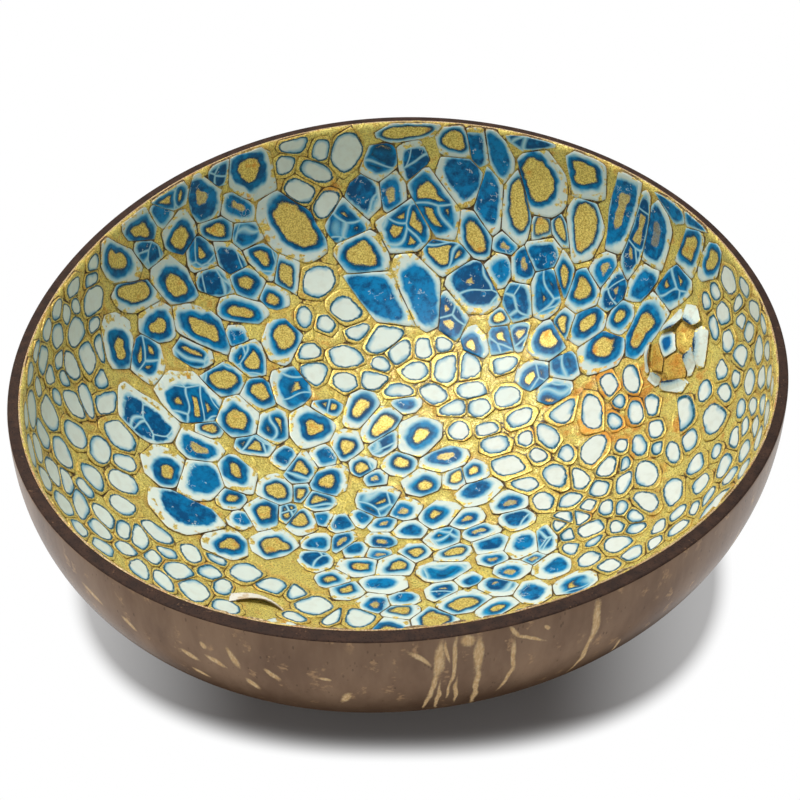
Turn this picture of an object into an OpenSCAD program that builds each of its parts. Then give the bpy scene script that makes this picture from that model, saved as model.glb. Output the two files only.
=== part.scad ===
// Coconut shell bowl with an eggshell mosaic on gold lacquer.
// The origin is the middle of the flat foot, +Z points up, and +Y points away from the usual view.
// Places on the mosaic are given on the bowl's inside rolled out flat: the middle of the floor is
// [0, 0], the rim is a circle of radius 1, and a distance from the middle is a share of the way up.

/* [Shell] */
// Mean diameter of the shell at the rim
rim_d = 138; // [120:1:160]
// Height of the rim above the table
bowl_h = 48; // [40:1:60]
// Depth of shell sanded off to make the flat foot
foot_depth = 1.9; // [1:0.1:2.6]
// Mean width of the sawn rim
rim_w = 1.84; // [1.4:0.02:2.6]
// Thickness of the shell in the middle of the floor
floor_t = 2.7; // [2:0.1:4]
// Rounding of the rim's outer edge
rim_round = 0.4; // [0.2:0.1:0.8]

/* [Gold lining] */
// Thickness of the gold lacquer
lining_t = 0.3; // [0.2:0.05:0.6]
// Clearance between the shell and the lacquer
lining_gap = 0.04; // [0.02:0.01:0.1]

/* [Mosaic] */
// Thickness of an eggshell shard
shard_t = 0.32; // [0.25:0.01:0.5]
// Clearance for glue under a shard
glue_gap = 0.2; // [0.17:0.01:0.3]
// Width of the crack between two shards
crack_w = 0.42; // [0.35:0.01:0.8]
// Clearance between the shards and the plane of the rim
rim_gap = 0.5; // [0.3:0.1:1]
// Longest straight step along a shard's edge
edge_step = 7.5; // [6:0.5:9]
// Shortest edge kept on a shard
edge_min = 0.5; // [0.3:0.1:0.8]

/* [Covered eye] */
// Radius of the bump over the coconut's eye
eye_r = 7.5; // [6:0.5:9]
// Height of the bump
eye_h = 1.5; // [1:0.1:2.2]
// Thickness of the bump's edge
eye_edge_t = 0.12; // [0.1:0.01:0.2]
// Clearance under the bump and under the shards on it
eye_gap = 0.2; // [0.17:0.01:0.3]
// How far the shards round the bump stand up at their inner edge
petal_lift = 1.3; // [0.8:0.1:2]

/* [Curled shard] */
// Length of the shard that has peeled up
curl_l = 9; // [7:0.5:11]
// Width of that shard at its middle
curl_w = 2.6; // [2:0.1:3.5]
// How high its loose edge stands
curl_h = 1.9; // [1:0.1:2.5]
// How far its middle bows outwards
curl_bow = 2.2; // [1.5:0.1:3]

/* [Hidden] */
// The outline of the rim departs from a circle as a real nut does: a long axis and three faint lobes.
oval_shares = [-0.012, 0.028];
lobe_shares = [0.006, -0.014];
// The sawn rim is wider at the front than at the back.
rim_w_shares = [-0.06, -0.294];
rim_w_oval_shares = [-0.07, -0.045];
// Powers of the curve that the shell follows from the foot to the rim
depth_power = 2.38;
radius_power = 1.88;

// Steps round the bowl and from the middle of the floor to the rim
around = 72;
rings = 12;
rim_r = rim_d / 2;
bed_depth = lining_gap + lining_t + glue_gap;
mosaic_depth = bed_depth + shard_t;

// Share of the mean radius and of the mean rim width at azimuth a
function outline_share(a) =
    1 + oval_shares * [cos(2 * a), sin(2 * a)] + lobe_shares * [cos(3 * a), sin(3 * a)];
function rim_share(a) = 1 + rim_w_shares * [cos(a), sin(a)] + rim_w_oval_shares * [cos(2 * a), sin(2 * a)];
// The shell's curve, from t = 0 at its lowest point to t = 90 at the rim
function height_share(t) = 1 - pow(cos(t), 2 / depth_power);
function reach_share(t) = pow(sin(t), 2 / radius_power);

function round_z(a, r, z) = [r * cos(a), r * sin(a), z];
function outside(a, t) =
    round_z(a, rim_r * outline_share(a) * reach_share(t), (bowl_h + foot_depth) * height_share(t) - foot_depth);
// A point on the bowl's inside, at a depth of layers above the bare shell
function inside(a, t, depth) =
    let(reach = rim_r * outline_share(a) - rim_w * rim_share(a) - depth)
    round_z(a, reach * reach_share(t), floor_t + depth + (bowl_h - floor_t - depth) * height_share(t));

// Rolled-out length from the middle of the floor to the rim, over the tops of the shards
curve_steps = 60;
function mean_curve(t) =
    [(rim_r - rim_w - mosaic_depth) * reach_share(t), (bowl_h - floor_t - mosaic_depth) * height_share(t)];
function curve_t(i) = 90 * i / curve_steps;
function curve_step(i) = norm(mean_curve(curve_t(i)) - mean_curve(curve_t(i - 1)));
curve_lengths = [for (i = 0, s = 0; i <= curve_steps; i = i + 1, s = s + curve_step(i)) s];
rolled_r = curve_lengths[curve_steps];
t_at_length = [for (i = [0:curve_steps]) [curve_lengths[i], curve_t(i)]];

// A point of the rolled-out inside, in millimetres, put back on the bowl
function on_bowl(p, depth) = inside(atan2(p.y, p.x), lookup(norm(p), t_at_length), depth);

// The blue shards with a gold middle: x, y, half length, half width, direction in degrees
ringed_back_left_shares = [
    [-0.41, 0.85, 0.09, 0.06, -20], [-0.28, 0.74, 0.1, 0.056, -35], [-0.47, 0.7, 0.056, 0.03, 5],
    [-0.39, 0.705, 0.046, 0.028, 0], [-0.33, 0.655, 0.05, 0.032, -25], [-0.37, 0.605, 0.05, 0.038, -20],
    [-0.505, 0.63, 0.04, 0.035, 0], [-0.59, 0.66, 0.05, 0.045, 20], [-0.66, 0.72, 0.06, 0.03, 25],
    [-0.74, 0.615, 0.07, 0.038, 18], [-0.585, 0.545, 0.065, 0.048, -20], [-0.77, 0.5, 0.085, 0.04, 12],
    [-0.675, 0.465, 0.08, 0.033, 25], [-0.6, 0.44, 0.055, 0.04, 35], [-0.485, 0.465, 0.085, 0.042, -15],
    [-0.495, 0.405, 0.045, 0.03, 10], [-0.355, 0.43, 0.042, 0.042, 0], [-0.27, 0.48, 0.045, 0.04, 60],
    [-0.375, 0.54, 0.06, 0.028, 5], [-0.297, 0.583, 0.035, 0.026, 0], [-0.27, 0.637, 0.042, 0.034, -50],
    [-0.41, 0.36, 0.055, 0.035, 35], [-0.325, 0.345, 0.036, 0.036, 0], [-0.248, 0.37, 0.044, 0.044, 0]
];
ringed_floor_left_shares = [
    [-0.485, 0.29, 0.085, 0.06, 10], [-0.375, 0.275, 0.053, 0.05, 0], [-0.29, 0.27, 0.042, 0.034, 65],
    [-0.2, 0.283, 0.052, 0.045, 70], [-0.33, 0.21, 0.042, 0.025, 10], [-0.44, 0.22, 0.03, 0.02, 30],
    [-0.365, 0.115, 0.05, 0.036, -60], [-0.275, 0.095, 0.04, 0.038, 0], [-0.22, 0.165, 0.048, 0.034, 60],
    [-0.22, 0.1, 0.028, 0.02, 80], [-0.115, 0.24, 0.036, 0.03, 70], [-0.085, 0.33, 0.05, 0.03, 60],
    [-0.04, 0.29, 0.05, 0.03, 50], [-0.16, 0.33, 0.035, 0.02, 0], [-0.047, 0.086, 0.045, 0.04, 0],
    [-0.08, 0.185, 0.026, 0.024, 0], [0, 0.185, 0.032, 0.026, 0], [-0.3, 0.015, 0.045, 0.036, 80],
    [-0.245, 0.03, 0.026, 0.018, 80], [-0.21, 0.01, 0.036, 0.03, 75], [-0.37, 0.04, 0.03, 0.025, 30],
    [-0.365, -0.1, 0.047, 0.038, 0], [-0.265, -0.067, 0.042, 0.036, 30], [-0.53, 0.075, 0.045, 0.05, 0],
    [-0.7, 0.33, 0.055, 0.05, 90], [-0.61, 0.335, 0.05, 0.045, 90], [-0.157, 0.143, 0.046, 0.036, 50],
    [-0.18, 0.08, 0.032, 0.028, 0]
];
ringed_floor_front_shares = [
    [-0.08, -0.105, 0.04, 0.028, 15], [-0.01, -0.1, 0.042, 0.032, 20], [-0.13, -0.15, 0.03, 0.026, 0],
    [-0.105, -0.185, 0.032, 0.028, 0], [0.005, -0.27, 0.038, 0.028, 0], [0.035, -0.065, 0.032, 0.024, 30],
    [0.092, -0.025, 0.036, 0.028, 40], [0.115, -0.075, 0.038, 0.025, 15], [0.095, -0.13, 0.047, 0.035, 5],
    [0.138, -0.245, 0.05, 0.038, 5], [0.207, -0.285, 0.042, 0.035, 20], [0.375, -0.243, 0.044, 0.036, 0],
    [0.038, 0.26, 0.045, 0.042, 60], [0.055, 0.14, 0.04, 0.03, 30], [0.115, 0.145, 0.028, 0.025, 0],
    [0.16, 0.155, 0.03, 0.024, 20], [0.085, 0.045, 0.042, 0.03, 30]
];
ringed_back_shares = [
    [0.03, 0.975, 0.09, 0.022, 6], [-0.05, 0.89, 0.048, 0.044, 0], [-0.125, 0.765, 0.05, 0.045, -40],
    [-0.085, 0.69, 0.06, 0.05, -50], [0.015, 0.75, 0.06, 0.055, 90], [0.085, 0.8, 0.085, 0.045, -62],
    [0.185, 0.72, 0.052, 0.036, -60], [0.105, 0.68, 0.05, 0.034, -10], [0.285, 0.76, 0.085, 0.036, 80],
    [0.37, 0.81, 0.085, 0.055, 85], [0.51, 0.8, 0.065, 0.05, 60], [0.455, 0.69, 0.07, 0.045, 65],
    [0.345, 0.71, 0.03, 0.024, 80], [0.392, 0.695, 0.035, 0.02, -75], [0.15, 0.94, 0.046, 0.035, -20]
];
ringed_back_right_shares = [
    [0.585, 0.423, 0.075, 0.04, 40], [0.667, 0.472, 0.06, 0.038, 25], [0.76, 0.518, 0.07, 0.036, 25],
    [0.817, 0.457, 0.05, 0.034, 0], [0.455, 0.4, 0.052, 0.045, 20], [0.425, 0.475, 0.045, 0.036, 10],
    [0.51, 0.465, 0.036, 0.028, 45], [0.43, 0.55, 0.047, 0.038, 45], [0.335, 0.57, 0.052, 0.036, 80],
    [0.385, 0.6, 0.05, 0.02, 85], [0.33, 0.46, 0.042, 0.038, 60], [0.295, 0.385, 0.036, 0.03, 20],
    [0.365, 0.387, 0.032, 0.03, 0], [0.34, 0.34, 0.036, 0.03, 20], [0.375, 0.49, 0.03, 0.022, 60],
    [0.225, 0.53, 0.022, 0.018, 0], [0.168, 0.48, 0.036, 0.026, -60], [0.228, 0.475, 0.036, 0.03, -70]
];

// The blue shards that stay blue all over, in the same terms
solid_back_left_shares = [
    [-0.515, 0.825, 0.035, 0.03, 40], [-0.53, 0.755, 0.07, 0.05, -30], [-0.43, 0.755, 0.055, 0.03, 0],
    [-0.42, 0.645, 0.055, 0.028, -30], [-0.67, 0.67, 0.045, 0.022, 10], [-0.67, 0.575, 0.055, 0.024, 5],
    [-0.455, 0.585, 0.05, 0.028, 0], [-0.385, 0.475, 0.026, 0.022, 0]
];
solid_floor_left_shares = [
    [-0.595, 0.19, 0.08, 0.052, -8], [-0.46, 0.165, 0.05, 0.04, 0], [-0.445, 0.07, 0.06, 0.045, 80],
    [-0.465, -0.035, 0.078, 0.042, -12], [-0.17, 0.205, 0.03, 0.028, 0], [-0.26, 0.19, 0.03, 0.024, 70],
    [-0.03, 0.24, 0.036, 0.02, 45], [-0.05, 0.15, 0.024, 0.02, 0],
    [-0.128, 0.02, 0.028, 0.025, 0], [-0.165, 0.03, 0.02, 0.02, 0], [-0.083, 0.038, 0.026, 0.022, 0],
    [-0.037, 0.022, 0.03, 0.02, 10], [0.01, 0.065, 0.03, 0.024, 0], [-0.34, -0.015, 0.026, 0.024, 0],
    [-0.17, -0.045, 0.03, 0.024, 0], [-0.17, -0.1, 0.03, 0.028, 0], [-0.118, -0.035, 0.032, 0.02, 50],
    [-0.087, -0.058, 0.026, 0.022, 0], [-0.037, -0.023, 0.028, 0.02, 0], [-0.045, -0.065, 0.025, 0.016, 0]
];
solid_floor_front_shares = [
    [-0.03, -0.165, 0.044, 0.028, 0], [-0.05, -0.23, 0.032, 0.028, 90], [0.01, -0.22, 0.03, 0.022, 0],
    [0.025, 0.005, 0.034, 0.022, 10], [0.175, -0.015, 0.036, 0.022, 10], [0.195, -0.055, 0.034, 0.03, 0],
    [0.265, -0.075, 0.042, 0.038, 90], [0.2, -0.1, 0.03, 0.02, 0], [0.243, -0.148, 0.037, 0.03, 0],
    [0.148, -0.165, 0.026, 0.022, 0], [0.323, -0.16, 0.038, 0.034, -20], [0.092, -0.197, 0.034, 0.025, 35],
    [0.21, -0.205, 0.04, 0.026, -30], [0.285, -0.243, 0.038, 0.034, -60], [0.31, -0.07, 0.04, 0.022, 90],
    [0.285, -0.12, 0.022, 0.018, 0], [0.015, 0.34, 0.03, 0.02, 0], [0.095, 0.19, 0.046, 0.03, 20],
    [0.17, 0.105, 0.047, 0.03, 20], [0.235, 0.065, 0.036, 0.03, 0], [0.25, 0.01, 0.034, 0.026, -20],
    [0.145, 0.03, 0.034, 0.024, 20]
];
solid_back_shares = [
    [-0.085, 0.82, 0.05, 0.042, 60], [-0.02, 0.835, 0.05, 0.032, -75], [-0.045, 0.6, 0.09, 0.048, -45],
    [0.03, 0.905, 0.045, 0.034, 80], [0.215, 0.93, 0.05, 0.028, -80], [0.265, 0.9, 0.07, 0.03, -85],
    [0.155, 0.85, 0.06, 0.045, -45], [0.225, 0.79, 0.08, 0.034, 82], [0.25, 0.695, 0.035, 0.022, -20],
    [0.37, 0.915, 0.07, 0.022, -20], [0.042, 0.61, 0.09, 0.045, -72], [0.118, 0.545, 0.055, 0.026, -80],
    [0.17, 0.605, 0.062, 0.052, -30]
];
solid_back_right_shares = [
    [0.59, 0.69, 0.105, 0.034, 43], [0.605, 0.625, 0.105, 0.026, 47], [0.66, 0.595, 0.08, 0.04, 48],
    [0.505, 0.535, 0.045, 0.03, 45], [0.583, 0.525, 0.05, 0.028, 25], [0.485, 0.585, 0.042, 0.026, 40],
    [0.34, 0.66, 0.042, 0.04, 0], [0.287, 0.635, 0.045, 0.026, 85], [0.272, 0.56, 0.055, 0.033, 82],
    [0.23, 0.635, 0.036, 0.028, 80], [0.265, 0.485, 0.035, 0.02, 80], [0.745, 0.64, 0.06, 0.02, -50],
    [0.815, 0.56, 0.05, 0.018, -55]
];

// The white shards of the bright band across the middle and of the patch at the top of the back wall
white_centre_shares = [
    [-0.195, 0.627, 0.045, 0.038, 20], [-0.12, 0.57, 0.046, 0.034, -25], [-0.22, 0.542, 0.026, 0.022, 90],
    [-0.167, 0.53, 0.024, 0.02, 0], [-0.037, 0.5, 0.044, 0.034, 20], [-0.205, 0.462, 0.03, 0.022, 0],
    [-0.122, 0.455, 0.04, 0.026, 0], [-0.188, 0.415, 0.032, 0.026, 0], [-0.12, 0.4, 0.034, 0.024, -10],
    [-0.055, 0.4, 0.03, 0.026, 0], [-0.037, 0.44, 0.022, 0.02, 0], [0.002, 0.465, 0.036, 0.03, 30],
    [-0.002, 0.372, 0.034, 0.02, -15], [-0.09, 0.515, 0.03, 0.02, 30], [0.057, 0.472, 0.032, 0.026, 60],
    [0.036, 0.425, 0.034, 0.027, 0], [0.1, 0.425, 0.036, 0.032, 90], [0.152, 0.42, 0.036, 0.024, 90],
    [0.078, 0.36, 0.034, 0.022, -40], [0.117, 0.325, 0.036, 0.02, 0], [0.17, 0.325, 0.03, 0.024, 0],
    [0.155, 0.37, 0.03, 0.026, 0], [0.235, 0.343, 0.032, 0.027, 30], [0.095, 0.48, 0.022, 0.02, 0],
    [0.23, 0.425, 0.032, 0.024, 20]
];
white_back_shares = [
    [-0.146, 0.92, 0.05, 0.045, 0], [-0.215, 0.925, 0.03, 0.03, 0], [-0.3, 0.935, 0.045, 0.03, 20],
    [-0.315, 0.88, 0.035, 0.03, 20], [-0.225, 0.87, 0.055, 0.028, -15], [-0.25, 0.825, 0.05, 0.03, -10],
    [-0.185, 0.8, 0.035, 0.03, 40]
];

// The white shards of the left wall, from the rim down, and of the right wall from the floor up
white_left_shares = [
    [-0.87, 0.435, 0.035, 0.022, 50], [-0.85, 0.405, 0.035, 0.02, 50], [-0.815, 0.365, 0.045, 0.036, 80],
    [-0.92, 0.33, 0.04, 0.03, 60], [-0.785, 0.325, 0.026, 0.018, 70], [-0.872, 0.307, 0.024, 0.018, 0],
    [-0.9, 0.258, 0.03, 0.022, 0], [-0.84, 0.258, 0.042, 0.036, 80], [-0.75, 0.286, 0.035, 0.02, -60],
    [-0.942, 0.227, 0.036, 0.026, 60], [-0.905, 0.188, 0.04, 0.03, 80], [-0.775, 0.234, 0.046, 0.042, 0],
    [-0.722, 0.213, 0.03, 0.02, -60], [-0.82, 0.175, 0.04, 0.035, 0], [-0.957, 0.15, 0.036, 0.022, 80],
    [-0.694, 0.17, 0.05, 0.028, 65], [-0.862, 0.15, 0.03, 0.018, 80], [-0.83, 0.127, 0.023, 0.02, 0],
    [-0.746, 0.128, 0.042, 0.024, -50], [-0.648, 0.1, 0.05, 0.04, -50], [-0.78, 0.093, 0.04, 0.033, 0],
    [-0.928, 0.08, 0.038, 0.032, 90], [-0.88, 0.083, 0.028, 0.024, 90], [-0.971, 0.05, 0.035, 0.018, 90],
    [-0.834, 0.06, 0.022, 0.018, 0], [-0.753, 0.016, 0.042, 0.035, 0], [-0.684, 0.03, 0.04, 0.033, 80],
    [-0.62, 0.037, 0.034, 0.028, 0], [-0.91, 0, 0.025, 0.022, 0], [-0.842, -0.008, 0.045, 0.04, 0],
    [-0.967, -0.03, 0.045, 0.02, 90], [-0.613, -0.025, 0.036, 0.029, 0], [-0.774, -0.064, 0.045, 0.034, -45],
    [-0.684, -0.06, 0.038, 0.028, -30], [-0.845, -0.088, 0.035, 0.03, 0], [-0.602, -0.092, 0.034, 0.028, 0],
    [-0.697, -0.11, 0.028, 0.02, -20], [-0.915, -0.09, 0.05, 0.034, -70], [-0.785, -0.155, 0.032, 0.03, 0],
    [-0.745, -0.14, 0.036, 0.022, -60], [-0.85, -0.165, 0.04, 0.026, -60], [-0.634, -0.16, 0.036, 0.024, -40],
    [-0.69, -0.178, 0.05, 0.024, -70], [-0.585, -0.165, 0.03, 0.02, 80], [-0.545, -0.166, 0.04, 0.021, -70],
    [-0.515, -0.128, 0.04, 0.018, -30], [-0.48, -0.178, 0.028, 0.018, 0], [-0.43, -0.156, 0.036, 0.024, -50],
    [-0.388, -0.194, 0.028, 0.024, 0], [-0.313, -0.17, 0.038, 0.031, 0], [-0.375, -0.15, 0.028, 0.014, -20],
    [-0.642, -0.207, 0.036, 0.026, -30], [-0.738, -0.226, 0.036, 0.034, 0], [-0.57, -0.226, 0.026, 0.02, 0],
    [-0.507, -0.208, 0.024, 0.02, 90], [-0.45, -0.226, 0.034, 0.032, 0], [-0.352, -0.234, 0.028, 0.022, 80],
    [-0.627, -0.267, 0.034, 0.028, 0], [-0.532, -0.267, 0.04, 0.024, 100], [-0.476, -0.276, 0.034, 0.02, -60],
    [-0.41, -0.268, 0.046, 0.032, -50], [-0.345, -0.297, 0.032, 0.028, -20], [-0.25, -0.195, 0.036, 0.022, 0],
    [-0.206, -0.208, 0.026, 0.022, -40], [-0.17, -0.245, 0.042, 0.034, -30], [-0.21, -0.29, 0.03, 0.018, -30],
    [-0.128, -0.28, 0.034, 0.016, 60], [-0.077, -0.286, 0.044, 0.032, -30], [-0.88, -0.225, 0.04, 0.028, -60],
    [-0.94, -0.17, 0.042, 0.024, -75], [-0.805, -0.22, 0.034, 0.026, -60], [-0.685, -0.26, 0.03, 0.026, 0]
];
white_right_shares = [
    [0.264, 0.283, 0.034, 0.026, 15], [0.19, 0.265, 0.026, 0.018, 10], [0.128, 0.268, 0.024, 0.024, 0],
    [0.208, 0.222, 0.034, 0.028, -20], [0.271, 0.234, 0.024, 0.019, 90], [0.36, 0.283, 0.04, 0.026, 30],
    [0.32, 0.227, 0.05, 0.022, -70], [0.421, 0.262, 0.06, 0.029, -75], [0.236, 0.16, 0.046, 0.034, -40],
    [0.302, 0.178, 0.026, 0.02, -60], [0.36, 0.167, 0.026, 0.02, -70], [0.425, 0.16, 0.046, 0.028, 75],
    [0.273, 0.107, 0.044, 0.028, -30], [0.338, 0.114, 0.046, 0.03, -60], [0.393, 0.088, 0.04, 0.024, -60],
    [0.312, 0.055, 0.04, 0.026, -60], [0.467, 0.318, 0.038, 0.02, -75], [0.524, 0.314, 0.042, 0.02, -80],
    [0.523, 0.227, 0.036, 0.019, -85], [0.567, 0.227, 0.03, 0.018, -85], [0.473, 0.223, 0.03, 0.016, -60],
    [0.49, 0.27, 0.022, 0.016, -60], [0.527, 0.133, 0.036, 0.022, -80], [0.567, 0.16, 0.03, 0.019, -80],
    [0.487, 0.15, 0.024, 0.018, 90], [0.635, 0.167, 0.05, 0.03, -85], [0.7, 0.188, 0.028, 0.02, 80],
    [0.757, 0.205, 0.032, 0.02, -70], [0.757, 0.142, 0.038, 0.021, -65], [0.715, 0.1, 0.052, 0.029, -80],
    [0.604, 0.073, 0.038, 0.019, -80], [0.648, 0.08, 0.034, 0.02, 90], [0.537, 0.044, 0.048, 0.026, -75],
    [0.487, 0.042, 0.036, 0.019, 70], [0.455, 0.105, 0.03, 0.024, 40], [0.49, 0.098, 0.022, 0.016, 90],
    [0.43, 0.05, 0.03, 0.022, -60], [0.567, 0.107, 0.022, 0.016, 90], [0.797, 0.055, 0.03, 0.018, 90],
    [0.845, 0.1, 0.04, 0.027, 80], [0.845, 0.016, 0.036, 0.02, -80], [0.66, 0.005, 0.04, 0.024, 90],
    [0.71, -0.003, 0.028, 0.016, 90], [0.908, 0.132, 0.038, 0.027, 80], [0.898, 0.05, 0.034, 0.022, 90],
    [0.955, 0.072, 0.04, 0.02, 100], [0.83, 0.187, 0.04, 0.028, -60], [0.798, 0.152, 0.028, 0.018, 80],
    [0.888, 0.213, 0.034, 0.026, -60], [0.937, 0.225, 0.048, 0.024, -60], [0.875, 0.306, 0.03, 0.02, 0],
    [0.868, 0.262, 0.03, 0.018, -60], [0.868, 0.372, 0.05, 0.028, -60], [0.92, 0.31, 0.04, 0.022, -60],
    [0.802, 0.326, 0.036, 0.024, -75], [0.76, 0.325, 0.042, 0.018, -85], [0.8, 0.262, 0.032, 0.022, -80],
    [0.757, 0.39, 0.028, 0.018, -85], [0.797, 0.39, 0.028, 0.018, -80], [0.968, 0.15, 0.036, 0.016, -80],
    [0.368, 0.035, 0.03, 0.024, 0], [0.405, 0.01, 0.024, 0.02, 0], [0.357, -0.012, 0.03, 0.018, -30],
    [0.345, -0.035, 0.024, 0.018, -70], [0.36, -0.068, 0.03, 0.015, -70], [0.385, -0.022, 0.03, 0.02, -60],
    [0.408, -0.068, 0.036, 0.03, 0], [0.447, -0.013, 0.028, 0.018, -80], [0.48, -0.03, 0.026, 0.016, -80],
    [0.538, -0.043, 0.05, 0.024, -65], [0.597, -0.05, 0.05, 0.023, 90], [0.465, -0.085, 0.03, 0.02, -70],
    [0.51, -0.072, 0.032, 0.016, -60], [0.507, -0.112, 0.024, 0.02, 0], [0.368, -0.115, 0.03, 0.02, -70],
    [0.404, -0.163, 0.036, 0.03, -50], [0.465, -0.147, 0.042, 0.033, -60], [0.417, -0.11, 0.024, 0.016, 30],
    [0.667, -0.074, 0.036, 0.025, 80], [0.608, -0.125, 0.028, 0.02, 40], [0.562, -0.14, 0.026, 0.018, 80],
    [0.548, -0.19, 0.026, 0.018, 30], [0.606, -0.18, 0.034, 0.023, 20], [0.647, -0.145, 0.03, 0.017, 80],
    [0.684, -0.137, 0.034, 0.018, 60], [0.5, -0.195, 0.034, 0.026, 0], [0.45, -0.208, 0.034, 0.024, -30],
    [0.735, -0.064, 0.042, 0.026, 70], [0.767, -0.01, 0.036, 0.02, 80], [0.805, -0.01, 0.034, 0.018, 80],
    [0.745, -0.125, 0.028, 0.022, 30], [0.8, -0.09, 0.046, 0.026, 85], [0.845, -0.06, 0.034, 0.018, 85],
    [0.88, -0.03, 0.04, 0.02, 90], [0.945, 0, 0.036, 0.024, 90], [0.856, -0.125, 0.04, 0.022, 80],
    [0.91, -0.1, 0.045, 0.024, 85], [0.96, -0.075, 0.04, 0.02, 90], [0.79, -0.155, 0.034, 0.024, 70]
];

// Where the near wall lies, as an outline
front_wall_shares = [
    [-0.98, -0.22], [-0.7, -0.29], [-0.3, -0.32], [-0.02, -0.3], [0.2, -0.32], [0.46, -0.27], [0.6, -0.21],
    [0.97, -0.12], [0.85, -0.7], [0.3, -1], [-0.3, -1], [-0.85, -0.7]
];
// Its shards stand in rows round the bowl: the highest row, the step between rows, the step along a
// row, a shard's half length and half width, and how far a shard may stray
wall_row_shares = [0.935, 0.1, 0.088, 0.052, 0.042, 0.014];
wall_rows = 8;
wall_seed = 41;
// The near wall's shards are blue between these azimuths, ringed where a draw falls under the share
front_blue = [228, 306];
front_ringed_share = 0.55;
// Centre of the covered eye, and how much wider than the bump the space that wall shards leave for it is
eye_shares = [0.645, 0.33];
eye_room_share = 1.1;
// Where the curled shard lies, which way it points, and its width at its ends
curl_shares = [-0.28, -0.25];
curl_turn = -12;
curl_end_share = 0.25;
// How far a shard may grow past its oval, how unevenly it breaks, how far its corners stray, how near a
// shard of the near wall comes to its neighbours, and how far away shards are looked for as neighbours
grow_share = 1.14;
rough_share = 0.1;
stray_share = 0.3;
spacing_share = 0.62;
near_share = 1.35;
// Corners of a shard before its neighbours cut it, and the seed that they are drawn with
corners = 7;
corner_seed = 7;

function axis(a) = [cos(a), sin(a)];
function across(a) = [-sin(a), cos(a)];
// How far an oval reaches from its middle towards the unit direction d, and how far a flat edge square
// to d stands when it touches the oval
function oval_reach(oval, d) = 1 / norm([d * axis(oval[4]) / oval[2], d * across(oval[4]) / oval[3]]);
function oval_touch(oval, d) = norm([d * axis(oval[4]) * oval[2], d * across(oval[4]) * oval[3]]);
// Which way the oval's edge faces where direction d leaves it
function oval_slope(oval, d) =
    let(
        u = axis(oval[4]),
        v = across(oval[4]),
        g = (d * u) / pow(oval[2], 2) * u + (d * v) / pow(oval[3], 2) * v
    )
    g / norm(g);

function crosses(p, a, b) = (a.y > p.y) != (b.y > p.y) && p.x < a.x + (p.y - a.y) * (b.x - a.x) / (b.y - a.y);
function within(p, outline) =
    let(n = len(outline), hits = [for (i = [0:n - 1]) if (crosses(p, outline[i], outline[(i + 1) % n])) 1])
    len(hits) % 2 == 1;

placed_shares = concat(
    ringed_back_left_shares, ringed_floor_left_shares, ringed_floor_front_shares, ringed_back_shares,
    ringed_back_right_shares, solid_back_left_shares, solid_floor_left_shares, solid_floor_front_shares,
    solid_back_shares, solid_back_right_shares, white_centre_shares, white_back_shares, white_left_shares,
    white_right_shares
);
// The eye's bump and the curled shard keep the other shards off the places where they stand.
kept_free_shares = [
    [eye_shares.x, eye_shares.y, eye_room_share * eye_r / rolled_r, eye_room_share * eye_r / rolled_r, 0],
    [curl_shares.x, curl_shares.y, curl_l / 2 / rolled_r, (curl_w + curl_bow) / 2 / rolled_r, curl_turn]
];
function is_clear(p) =
    len([for (oval = concat(placed_shares, kept_free_shares))
        let(d = p - [oval[0], oval[1]], room = spacing_share * wall_row_shares[4])
        if (norm(d) < oval_reach(oval, d / norm(d)) + room) 1
    ]) == 0;

// Shards in staggered rows over the near wall, left out where a placed shard lies
front_shares = [
    for (row = [0:wall_rows - 1])
        let(
            reach = wall_row_shares[0] - row * wall_row_shares[1],
            count = max(3, floor(2 * PI * reach / wall_row_shares[2])),
            stray = rands(-wall_row_shares[5], wall_row_shares[5], 2 * count, wall_seed + row)
        )
        for (i = [0:count - 1])
            let(
                a = 360 * (i + (row % 2) / 2) / count,
                p = reach * axis(a) + [stray[2 * i], stray[2 * i + 1]]
            )
            if (within(p, front_wall_shares) && is_clear(p))
                [p.x, p.y, wall_row_shares[3], wall_row_shares[4], a]
];
front_draws = rands(0, 1, len(front_shares), wall_seed);
function is_blue(oval) = let(a = atan2(oval[1], oval[0]) + 360) a > front_blue[0] && a < front_blue[1];
white_front_shares = [for (oval = front_shares) if (!is_blue(oval)) oval];
ringed_front_shares = [
    for (i = [0:len(front_shares) - 1])
        if (is_blue(front_shares[i]) && front_draws[i] < front_ringed_share) front_shares[i]
];
solid_front_shares = [
    for (i = [0:len(front_shares) - 1])
        if (is_blue(front_shares[i]) && front_draws[i] >= front_ringed_share) front_shares[i]
];

// Every shard's oval in rolled-out millimetres, group by group
groups = [
    ringed_back_left_shares, ringed_floor_left_shares, ringed_floor_front_shares, ringed_back_shares,
    ringed_back_right_shares, ringed_front_shares, solid_back_left_shares, solid_floor_left_shares,
    solid_floor_front_shares, solid_back_shares, solid_back_right_shares, solid_front_shares,
    white_left_shares, white_back_shares, white_centre_shares, white_right_shares, white_front_shares
];
function scaled(oval, size, from) =
    [from.x + oval[0] * size, from.y + oval[1] * size, oval[2] * size, oval[3] * size, oval[4]];
ovals = [for (group = groups) each [for (oval = group) scaled(oval, rolled_r, [0, 0])]];
kept_free = [for (oval = kept_free_shares) scaled(oval, rolled_r, [0, 0])];
function first_of(group) = group == 0 ? 0 : first_of(group - 1) + len(groups[group - 1]);

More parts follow.
